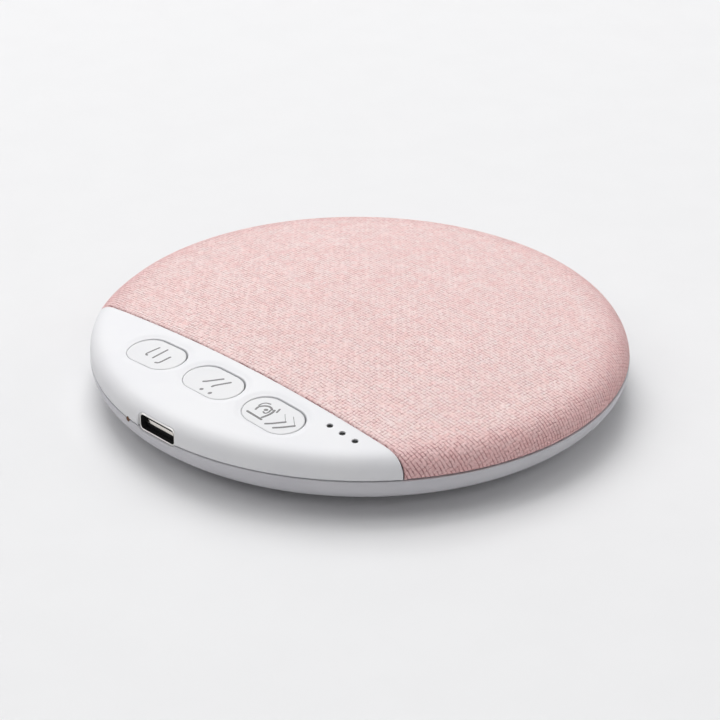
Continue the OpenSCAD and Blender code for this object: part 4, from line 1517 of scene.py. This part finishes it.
@dataclass
class LowerCase:
    """White lower half of the case: rounded wall, flat underside and the groove for the foot ring."""

    form: CaseForm
    port: PortOpening
    rim_round: float = 0.16
    groove_gap: float = 0.1
    straight_z: float = 6.5
    port_reach: float = 5.2
    port_step: float = 0.07
    pin_reach: float = 0.7
    pin_step: float = 0.04
    least_turn: float = 2e-4
    pole_r: float = 1.0
    floor_end: float = 0.09

    def columns(self) -> Array:
        """Angles round the case from -Y, closer together at the holes in the rim."""
        even = np.linspace(-math.pi, math.pi, 480, endpoint=False)
        port_x = np.arange(-self.port_reach, self.port_reach, self.port_step)
        pin_x = self.port.pin_x + np.arange(-self.pin_reach, self.pin_reach, self.pin_step)
        extra = np.arcsin(np.concatenate([port_x, pin_x]) / self.form.half_w)
        turn = np.sort(np.concatenate([even, extra]))
        return turn[np.concatenate([[True], np.diff(turn) > self.least_turn])]

    def outside(self, rim: Array) -> tuple[Array, Array, list[int]]:
        """Rings down the outside, to a small one in the middle of the underside.

        A small quarter round lies under the rim, then come a nearly straight wall, the ellipse of the base
        and the groove.

        Args:
            rim: Height of the rim at each column.

        Returns:
            (rows, columns) radii and heights, and the rows with a sharp edge, at the groove.
        """
        form, same = self.form, np.ones_like(rim)
        foot_low, foot_high = node_box("foot_ring")
        groove_out, groove_top = foot_high[0] + self.groove_gap, foot_high[2]
        groove_in = abs(foot_low[0]) - FOOT_WIDTH - self.groove_gap
        base_h = form.widest_z - form.base_z
        turn = quarter_turn(6)
        radii = [form.half_w - self.rim_round * (1 - math.sin(t)) * same for t in turn]
        heights = [rim - self.rim_round * (1 - math.cos(t)) for t in turn]
        wall_top = heights[-1]
        for share in np.linspace(0, 1, 6)[1:]:
            heights.append(wall_top * (1 - share) + self.straight_z * share)
            drop = np.maximum(form.widest_z - heights[-1], 0) / base_h
            radii.append(form.flat_r + form.base_round * np.sqrt(1 - drop**2))
        first = math.acos((form.widest_z - self.straight_z) / base_h)
        end = math.asin((groove_out - form.flat_r) / form.base_round)
        base_r, base_z = form.base_profile(0.0, np.linspace(first, end, 30)[1:])
        groove = [(groove_out, groove_top), (groove_in, groove_top), (groove_in, form.base_z)]
        crease = len(radii) + len(base_r) - 1
        for radius, height in [*zip(base_r, base_z), *groove, (self.pole_r, form.base_z)]:
            radii.append(radius * same)
            heights.append(height * same)
        return np.stack(radii), np.stack(heights), list(range(crease, crease + 4))

    def inside(self, rim: Array) -> tuple[Array, Array]:
        """Rings up the inside, as (rows, columns) radii and heights: the ellipse at the wall's depth."""
        form, same = self.form, np.ones_like(rim)
        radius, height = form.base_profile(form.wall, np.linspace(0, math.acos(self.floor_end), 20))
        radii = np.array([self.pole_r, *radius, form.half_w - form.wall])
        heights = np.array([form.base_z + form.wall, *height])
        return radii[:, None] * same, np.vstack([heights[:, None] * same, rim])

    def build(self) -> None:
        """The lower half, in place of its CAD node."""
        form = self.form
        turn = self.columns()
        front = np.where(np.cos(turn) > 0, form.half_w * np.sin(turn), form.half_w)
        rim = self.port.rim_height(front, form.parting_z)
        radius, height, creases = self.outside(rim)
        inner_r, inner_z = self.inside(rim)
        inner_r, inner_z = np.vstack([inner_r, radius[0]]), np.vstack([inner_z, height[0]])
        made = Surface()
        outer = made.add_grid(rings_round(radius, turn, height), creases=creases)
        made.add_fan(outer[-1], (0, 0, form.base_z), (0, 0, -1), last=True)
        inner = made.add_grid(rings_round(inner_r, turn, inner_z), creases=[len(inner_r) - 2])
        made.add_fan(inner[0], (0, 0, form.base_z + form.wall), (0, 0, 1), last=False)
        # The lower half's finish is a darker white painted as shade.
        add_piece(made, "lower_case", SHADED_LOWER_WHITE, ["bottom_shell"])


@dataclass
class ClothTop:
    """Pink cloth stretched over the rest of the dome and tucked in at the seam and the rim."""

    form: CaseForm
    thickness: float = 0.85
    seam_round: float = 0.6
    rim_round: float = 0.42
    tuck: float = 8.0
    fill_x: float = 46.0
    fill_front: float = -30.0
    fill_back: float = 46.0

    def edge(self) -> Edge:
        """Edge along the seam from -X to +X and back round the rim."""
        form = self.form
        low, _ = node_box("cloth_cover")
        rim_angle = float(form.angle_at_height(np.array(low[2])))
        seam = form.unroll(seam_line(form, low[1], rim_angle)[::-1])
        length = np.linalg.norm(seam[0])
        start = math.atan2(seam[-1, 0], -seam[-1, 1])
        turn = np.linspace(start, 2 * math.pi - start, 400)[1:-1]
        rim = length * ways_round(turn)
        rounds = np.repeat([self.seam_round, self.rim_round], [len(seam), len(rim)])
        return Edge(np.concatenate([seam, rim]), rounds)

    def build(self) -> None:
        """The cloth, in place of its CAD solid, with its flat cut."""
        low, high = (-self.fill_x, self.fill_front), (self.fill_x, self.fill_back)
        fill = dome_fill(self.form, low, high, step=1.5, clear=0.6, ring_step=0.4, columns=320)
        skin = Skin(self.form, [self.edge()], fill)
        made = skin.plate(self.thickness)
        piece = add_piece(made, "cloth_top", CLOTH, ["cloth_cover"], flat_map=CLOTH.flat_map)
        size = skin.flat.max(axis=0) - skin.flat.min(axis=0) + 2 * self.tuck
        corners = skin.flat[skin.faces]
        side, other = corners[:, 1] - corners[:, 0], corners[:, 2] - corners[:, 0]
        seen = np.abs(side[:, 0] * other[:, 1] - side[:, 1] * other[:, 0]).sum() / 2
        rim = skin.flat[skin.loops[0]]
        rim_length = np.linalg.norm(np.roll(rim, -1, axis=0) - rim, axis=1).sum()
        area = seen + rim_length * self.tuck
        tuple(size * MM)
        area * MM**2


@dataclass(frozen=True)
class Stroke:
    """A line of a printed mark: its corners from the key's middle, +Y away from the user, and its width."""

    points: Sequence[tuple[float, float]]
    width: float = 0.46

    def line(self) -> Array:
        """Its points with the corners cut twice, which leaves a smooth curve between the same ends."""
        line = np.array(self.points)
        for _ in range(2):
            start, end = line[:-1], line[1:]
            cut = np.stack([0.75 * start + 0.25 * end, 0.25 * start + 0.75 * end], axis=1)
            line = np.concatenate([line[:1], cut.reshape(-1, 2), line[-1:]])
        return line


MARKS = {
    Key.LEFT: (
        Stroke([(-1.15, -1.3), (-1.62, -1.25), (-1.7, -0.75), (-1.35, 1.75)], 0.38),
        Stroke([(0.45, -1.3), (0.45, 2.1)], 0.42),
        Stroke([(2.1, -2.15), (2.65, -1.95), (2.75, -1.3), (2.85, 0.7)], 0.42),
    ),
    Key.MIDDLE: (
        Stroke([(-1.6, -1.0), (-1.15, -0.6), (-0.5, 0.3), (0.55, 1.75)]),
        Stroke([(0.85, -1.15), (0.85, -0.8), (1.45, 0.2), (2.4, 1.8)]),
        Stroke([(-0.05, -2.95), (0.08, -2.85)], 0.6),
        Stroke([(2.05, -2.9), (2.15, -2.7)], 0.6),
    ),
    Key.RIGHT: (
        Stroke([(-4.0, 0.25), (-4.0, 0.85), (-3.8, 1.35), (-3.4, 1.7), (-2.75, 1.85)], 0.3),
        Stroke([
            (-3.55, -0.9), (-3.7, -0.35), (-3.65, 0.15), (-3.1, 0.85), (-2.5, 1.2), (-1.9, 1.2), (-1.3, 0.85)
        ], 0.42),
        Stroke([(-2.15, 0.08), (-2.0, 0.2)], 0.64),
        Stroke([(-2.0, -0.55), (-1.5, -0.75), (-1.2, -0.3), (-1.25, 0.2), (-1.4, 0.55)], 0.34),
        Stroke([(-4.2, -2.25), (-0.6, -2.35)]),
        Stroke([(-0.95, -1.85), (-0.75, -1.15), (-0.6, -0.2), (-0.7, 0.55), (-0.85, 1.0)]),
        Stroke([(-0.15, 0.9), (-0.45, 1.85)], 0.36),
        Stroke([(0.85, -2.7), (1.65, -1.9), (3.0, -0.05)]),
        Stroke([(2.85, 0.1), (1.25, 1.5)], 0.09),
        Stroke([(2.7, -2.6), (3.6, -1.65), (4.95, 0.25)]),
        Stroke([(4.8, 0.4), (2.9, 1.95)], 0.11),
    ),
}


def between_known(places: Array, known: Array, values: Array) -> Array:
    """Rows of values at places along a line, straight between the known places."""
    return np.column_stack([np.interp(places, known, column) for column in values.T])


@dataclass
class KeyRow:
    """Three flush keys with small printed marks.

    A key rests a little towards the user in its opening, and its rear edge lies a little low.
    """

    form: CaseForm
    sizes: KeySizes
    rest_shift: tuple[float, float] = (-0.03, -0.11)
    sink: float = 0.22
    tilt: float = 0.012
    fill_step: float = 0.9
    line_h: float = 0.02
    line_step: float = 0.12
    line_end: float = 0.03

    def drop(self, plan: Array, middle: Array) -> Array:
        """How far the key's face lies under the dome at plan points."""
        return self.sink + self.tilt * (plan[..., 1] - middle[1])

    def ribbon(self, stroke: Stroke, middle: Array) -> Surface:
        """A printed line: a low round ridge carried along the stroke, with round ends.

        The ridge's half width is that of a circle at both ends, and its cross-section is a flat
        ellipse whose upper half stands over the key's face.

        Args:
            stroke: The line.
            middle: Plan place of the key's middle.

        Returns:
            The closed surface.
        """
        corners = stroke.line()
        reach = np.concatenate([[0], np.cumsum(np.linalg.norm(np.diff(corners, axis=0), axis=1))])
        half = stroke.width / 2
        ends = half * (1 - np.cos(quarter_turn(6)))
        inner = np.arange(0, reach[-1], self.line_step)
        way = np.unique(np.concatenate([ends - half, inner, reach[-1] + half - ends]).round(5))
        held = np.clip(way, 0, reach[-1])
        even = np.linspace(0, reach[-1], 200)
        line = between_known(even, reach, corners)
        turn = unit(between_known(held, even, unit(np.gradient(line, axis=0))))
        path = between_known(held, even, line) + turn * (way - held)[:, None]
        share = np.sqrt(np.clip(1 - ((way - held) / half) ** 2, self.line_end**2, 1))[:, None]
        angle = full_turn(10)
        side = np.column_stack([-turn[:, 1], turn[:, 0]])
        spread = half * share * np.cos(angle)
        plan = middle + path[:, None, :] + side[:, None, :] * spread[:, :, None]
        dome = self.form.dome_height(plan.reshape(-1, 2)).reshape(plan.shape[:2])
        height = dome - self.drop(plan, middle) + self.line_h * share * np.sin(angle)
        points = np.concatenate([plan, height[:, :, None]], axis=2)
        return tube(points, (*-turn[0], 0), (*turn[-1], 0))

    def cap(self, key: Key) -> Surface:
        """A key: its face on the dome, a flange under the panel and the stem on its switch."""
        middle = self.sizes.middle(key)
        length, width = (size - 2 * self.sizes.gap for size in self.sizes.opening)
        loop = self.form.unroll(stadium(length, width) + middle + self.rest_shift)
        fill = square_fill(self.fill_step, loop.min(axis=0), loop.max(axis=0))
        skin = Skin(self.form, [Edge(loop, self.sizes.cap_round)], fill)
        step = self.sizes.gap + self.sizes.flange
        depths = (self.sizes.flange_depth, self.sizes.depth)
        made = skin.plate(depths[1], [(0.0, depths[0]), (step, depths[0]), (step, depths[1])])
        made.points = [p - np.column_stack([p[:, :2] * 0, self.drop(p, middle)]) for p in made.points]
        top = float(self.form.dome_height(middle[None])[0]) - depths[1] + self.sizes.stem_sink
        made.add(peg(middle, self.sizes.stem_d / 2, node_box(key.node)[0][2], top))
        return made

    def build(self) -> None:
        """All keys with their marks, in place of the CAD keys."""
        for key in Key:
            cap = self.cap(key)
            add_piece(cap, f"key_cap_{key.value}", KEY_WHITE, [key.node], key.body)
            marks = Surface()
            for stroke in MARKS[key]:
                marks.add(self.ribbon(stroke, self.sizes.middle(key)))
            add_piece(marks, f"key_marks_{key.value}", MARK_INK, body=key.body)


@dataclass
class ChargingPort:
    """Metal shell of the charging port with a flared mouth and the tongue in it, lined black inside as
    painted shade.
    """

    corner: float = 1.0
    flare: tuple[float, float] = (0.22, 0.05)
    flare_l: float = 2.0
    wall: float = 0.3
    lead: float = 0.25
    # Sizes of the black sheet of painted shade inside the shell.
    lining_gap: float = 0.01
    lining_t: float = 0.06
    lining_set_back: float = 0.04
    lining_end: float = 0.1
    insulator_l: float = 1.2
    tongue_lead: float = 0.15
    tongue_round: float = 0.08
    tongue_side: float = 0.45
    tip_t: float = 0.7
    tip_rise: float = -0.1
    tip_l: float = 0.16

    def __post_init__(self) -> None:
        """Take the shell's box from the frame."""
        self.low, self.high = node_box("usb_shell")
        self.middle_z = (self.low[2] + self.high[2]) / 2
        self.width = self.high[0] - self.low[0]
        self.height = self.high[2] - self.low[2]

    def bar(self, inset: float, flared: bool = False) -> Array:
        """Loop of the shell's outline at a depth inside it, or of its flared mouth's."""
        wide, high = self.flare if flared else (0.0, 0.0)
        return rounded_bar(
            self.width + 2 * (wide - inset), self.height + 2 * (high - inset), self.corner - inset, 10
        )

    def carried(self, rows: Sequence[tuple[Array, float]]) -> Surface:
        """Carry closed loops of X and height along Y, and close both ends.

        Args:
            rows: For each row its (n, 2) loop and its Y.

        Returns:
            The closed surface.
        """
        points = np.stack([
            np.column_stack([loop[:, 0], np.full(len(loop), y), loop[:, 1] + self.middle_z])
            for loop, y in rows
        ])
        places = [y for _, y in rows]
        first = math.copysign(1.0, places[0] - places[1])
        last = math.copysign(1.0, places[-1] - places[-2])
        return tube(points, (0, first, 0), (0, last, 0))

    def cup(self, outer: float, thickness: float, mouth: float, back: float, floor: float) -> Surface:
        """A cup: a round-cornered bar carried to the mouth, round it and back inside to the floor.

        The mouth is a little wider than the rest.

        Args:
            outer: Depth of its outer face inside the shell's outline.
            thickness: Thickness of its wall.
            mouth: Y of its mouth.
            back: Y of its back.
            floor: Y of its floor inside.

        Returns:
            The closed surface.
        """
        half = thickness / 2
        inner, rim = outer + thickness, outer + half
        turn = np.radians(np.linspace(90, -90, 9))
        rows = [(self.bar(outer), back), (self.bar(outer), mouth + self.flare_l)]
        rows += [(self.bar(rim - half * math.sin(t), True), mouth + half - half * math.cos(t)) for t in turn]
        rows += [(self.bar(inner), mouth + self.flare_l), (self.bar(inner), floor)]
        return self.carried(rows)

    def tongue(self, front: float, back: float, size: tuple[float, float], rise: float = 0.0) -> Surface:
        """A stretch of the tongue: a flat bar with round sides carried back from its rounded front edge.

        Args:
            front: Y of its front.
            back: Y of its back.
            size: Its width and thickness.
            rise: Height of its middle over the port's middle.

        Returns:
            The closed surface.
        """
        turn = quarter_turn(6)
        insets = self.tongue_round * (1 - np.sin(turn))
        places = front + self.tongue_round * (1 - np.cos(turn))
        side = self.tongue_side * min(size)
        rows = [
            (rounded_bar(size[0] - 2 * i, size[1] - 2 * i, side - i) + [0, rise], y)
            for i, y in zip(insets, places)
        ]
        return self.carried([*rows, (rows[-1][0], back)])

    def build(self) -> None:
        """The shell, a black sheet of painted shade inside it and the tongue, in place of the CAD ones."""
        mouth, back = self.low[1] - self.lead, self.high[1]
        shell = self.cup(0.0, self.wall, mouth, back, back - self.wall)
        add_piece(shell, "port_shell", PORT_STEEL, ["usb_shell"])
        low, high = node_box("usb_tongue")
        floor = high[1] - self.insulator_l
        # Painted shade: a black cup inside the shell for the port's dark inside; the tongue's body behind its
        # tip takes the same black.
        shade_sheet = self.cup(
            self.wall + self.lining_gap,
            self.lining_t,
            mouth + self.lining_set_back,
            back - self.wall - self.lining_end,
            floor,
        )
        front, width, thickness = low[1] - self.tongue_lead, high[0] - low[0], high[2] - low[2]
        shade_sheet.add(self.tongue(front + self.tip_l / 2, floor + self.insulator_l / 2, (width, thickness)))
        add_piece(shade_sheet, "port_shade_sheet", PORT_SHADE_BLACK)
        tip = self.tongue(front, front + self.tip_l, (width, self.tip_t), self.tip_rise)
        add_piece(tip, "port_tongue", TIP_STEEL, ["usb_tongue"])


@dataclass
class FootRing:
    """Rubber ring under the case."""

    width: float = FOOT_WIDTH
    round_r: float = 0.4

    def build(self) -> None:
        """The ring: a flat section with rounded lower edges turned round Z."""
        low, high = node_box("foot_ring")
        outer, inner = high[0], high[0] - self.width
        turn = quarter_turn(7)
        sine, cosine = self.round_r * (1 - np.sin(turn)), self.round_r * (1 - np.cos(turn))
        flat_x = np.linspace(outer - self.round_r, inner + self.round_r, 5)[1:-1]
        profile = np.concatenate([
            [[outer, high[2]]],
            np.column_stack([outer - cosine, sine]),
            np.column_stack([flat_x, np.zeros_like(flat_x)]),
            np.column_stack([inner + sine, cosine]),
            [[inner, high[2]], [outer, high[2]]],
        ])
        made = lathe(profile + [0, low[2]], 256, creases=(len(profile) - 2,))
        add_piece(made, "foot_pad_ring", FOOT_RUBBER, ["foot_ring"])


class InnerWorks:
    """The CAD pieces that keep their own shape, inside the case."""

    def dress(self) -> None:
        """Give each CAD node that still shows the finish of its material slot."""
        slots = {row["node"]: row["material_slot"] for row in frame["record"]["subparts"]}
        for name, piece in sorted(frame["nodes"].items()):
            if piece.hide_render:
                continue
            finish = DRIVER_LEADS if name == "driver_leads" else InnerFinish[slots[name]].value
            finish.on(piece)
            log.info("%s: %s", name, finish.name)


@dataclass(frozen=True)
class Lamp:
    """A square soft lamp aimed at the part: its direction as azimuth and tilt in degrees, and its watts."""

    name: str
    azimuth: float
    tilt: float
    watts: float
    distance: float = 2000.0
    side: float = 1400.0

    def build(self) -> None:
        """Put the lamp in the scene."""
        turn, tilt = math.radians(self.azimuth), math.radians(self.tilt)
        data = bpy.data.lights.new(self.name, "AREA")
        data.shape = "SQUARE"
        data.size = self.side * MM
        data.energy = self.watts
        made = new_object(self.name, data)
        way = Vector((math.sin(turn) * math.sin(tilt), -math.cos(turn) * math.sin(tilt), math.cos(tilt)))
        made.location = way * self.distance * MM
        made.rotation_euler = (-way).to_track_quat("-Z", "Y").to_euler()


@dataclass
class Studio:
    """Pale floor, soft light from above and the camera at the photograph's angle."""

    azimuth: float = 45.0
    elevation: float = 27.84
    distance: float = 430.0
    aim_drop: float = 2.86
    roll: float = 0.54
    lens: float = 115.36
    sensor: float = 36.0
    clip: tuple[float, float] = (0.01, 20.0)
    aim_z: float = 7.4
    floor_side: float = 6000.0
    lamps: tuple[Lamp, ...] = (
        Lamp("lamp_behind", 240.0, 30.0, 22.5),
        Lamp("lamp_behind_low", 240.0, 58.0, 8.2),
        Lamp("lamp_above", 0.0, 0.0, 9.6),
        Lamp("lamp_left", 322.0, 45.0, 10.1),
        Lamp("lamp_right", 150.0, 58.0, 6.8),
        Lamp("lamp_front", 56.0, 57.0, 7.4),
    )
    sky: float = 0.021
    sky_tint: Colour = (0.98, 0.98, 1.0)
    backdrop: float = 0.88

    def camera(self) -> None:
        """Camera on the ray at the set angles, aimed a little under the middle of the case."""
        turn, lift = math.radians(self.azimuth), math.radians(self.elevation)
        back = Vector((math.sin(turn) * math.cos(lift), -math.cos(turn) * math.cos(lift), math.sin(lift)))
        data = bpy.data.cameras.new("camera")
        data.lens = self.lens
        data.sensor_width = self.sensor
        data.clip_start, data.clip_end = self.clip
        made = new_object("camera", data)
        upward = Vector((-math.sin(turn) * math.sin(lift), math.cos(turn) * math.sin(lift), math.cos(lift)))
        middle = Vector((0, 0, self.aim_z)) * MM
        made.location = middle + back * self.distance * MM
        aim = middle - upward * self.aim_drop * MM
        level = (aim - made.location).to_track_quat("-Z", "Y")
        made.rotation_euler = (level @ Quaternion((0, 0, 1), math.radians(self.roll))).to_euler()
        bpy.context.scene.camera = made

    def floor(self) -> None:
        """Flat pale floor, just under the foot ring."""
        half = self.floor_side / 2 * MM
        corners = [(-half, -half, 0), (half, -half, 0), (half, half, 0), (-half, half, 0)]
        mesh = bpy.data.meshes.new("floor")
        mesh.from_pydata(corners, [], [(0, 1, 2, 3)])
        made = new_object("floor", mesh)
        FLOOR_PAPER.on(made)

    def light(self) -> None:
        """Large soft lamps, the strongest from behind, and a dim even sky that looks pale when seen."""
        for lamp in self.lamps:
            lamp.build()
        world = bpy.data.worlds.new("studio")
        bpy.context.scene.world = world
        world.use_nodes = True
        nodes = Nodes(world.node_tree)
        rays = nodes.node("ShaderNodeLightPath").outputs
        camera, glossy, through = (
            Value(nodes, rays[name]) for name in ("Is Camera Ray", "Is Glossy Ray", "Is Transmission Ray")
        )
        seen = camera.math("MAXIMUM", glossy).math("MAXIMUM", through)
        strength = self.sky + (self.backdrop - self.sky) * seen
        sky = nodes.node("ShaderNodeBackground", None, {"Color": self.sky_tint, "Strength": strength})
        nodes.node("ShaderNodeOutputWorld", None, {"Surface": sky.outputs[0]})

    def build(self) -> None:
        """The whole studio, with the plain view transform."""
        self.camera()
        self.floor()
        self.light()
        bpy.context.scene.view_settings.view_transform = "Standard"


def main() -> None:
    """Build the studio and every sub-assembly in turn."""
    logging.basicConfig(level=logging.INFO, format="%(name)s %(message)s")
    Studio().build()
    form, port, keys = CaseForm.from_frame(), PortOpening.from_frame(), KeySizes()
    LowerCase(form, port).build()
    ControlPanel(form, keys, port).build()
    ClothTop(form).build()
    KeyRow(form, keys).build()
    ChargingPort().build()
    FootRing().build()
    InnerWorks().dress()


if __name__ == "__main__":
    main()
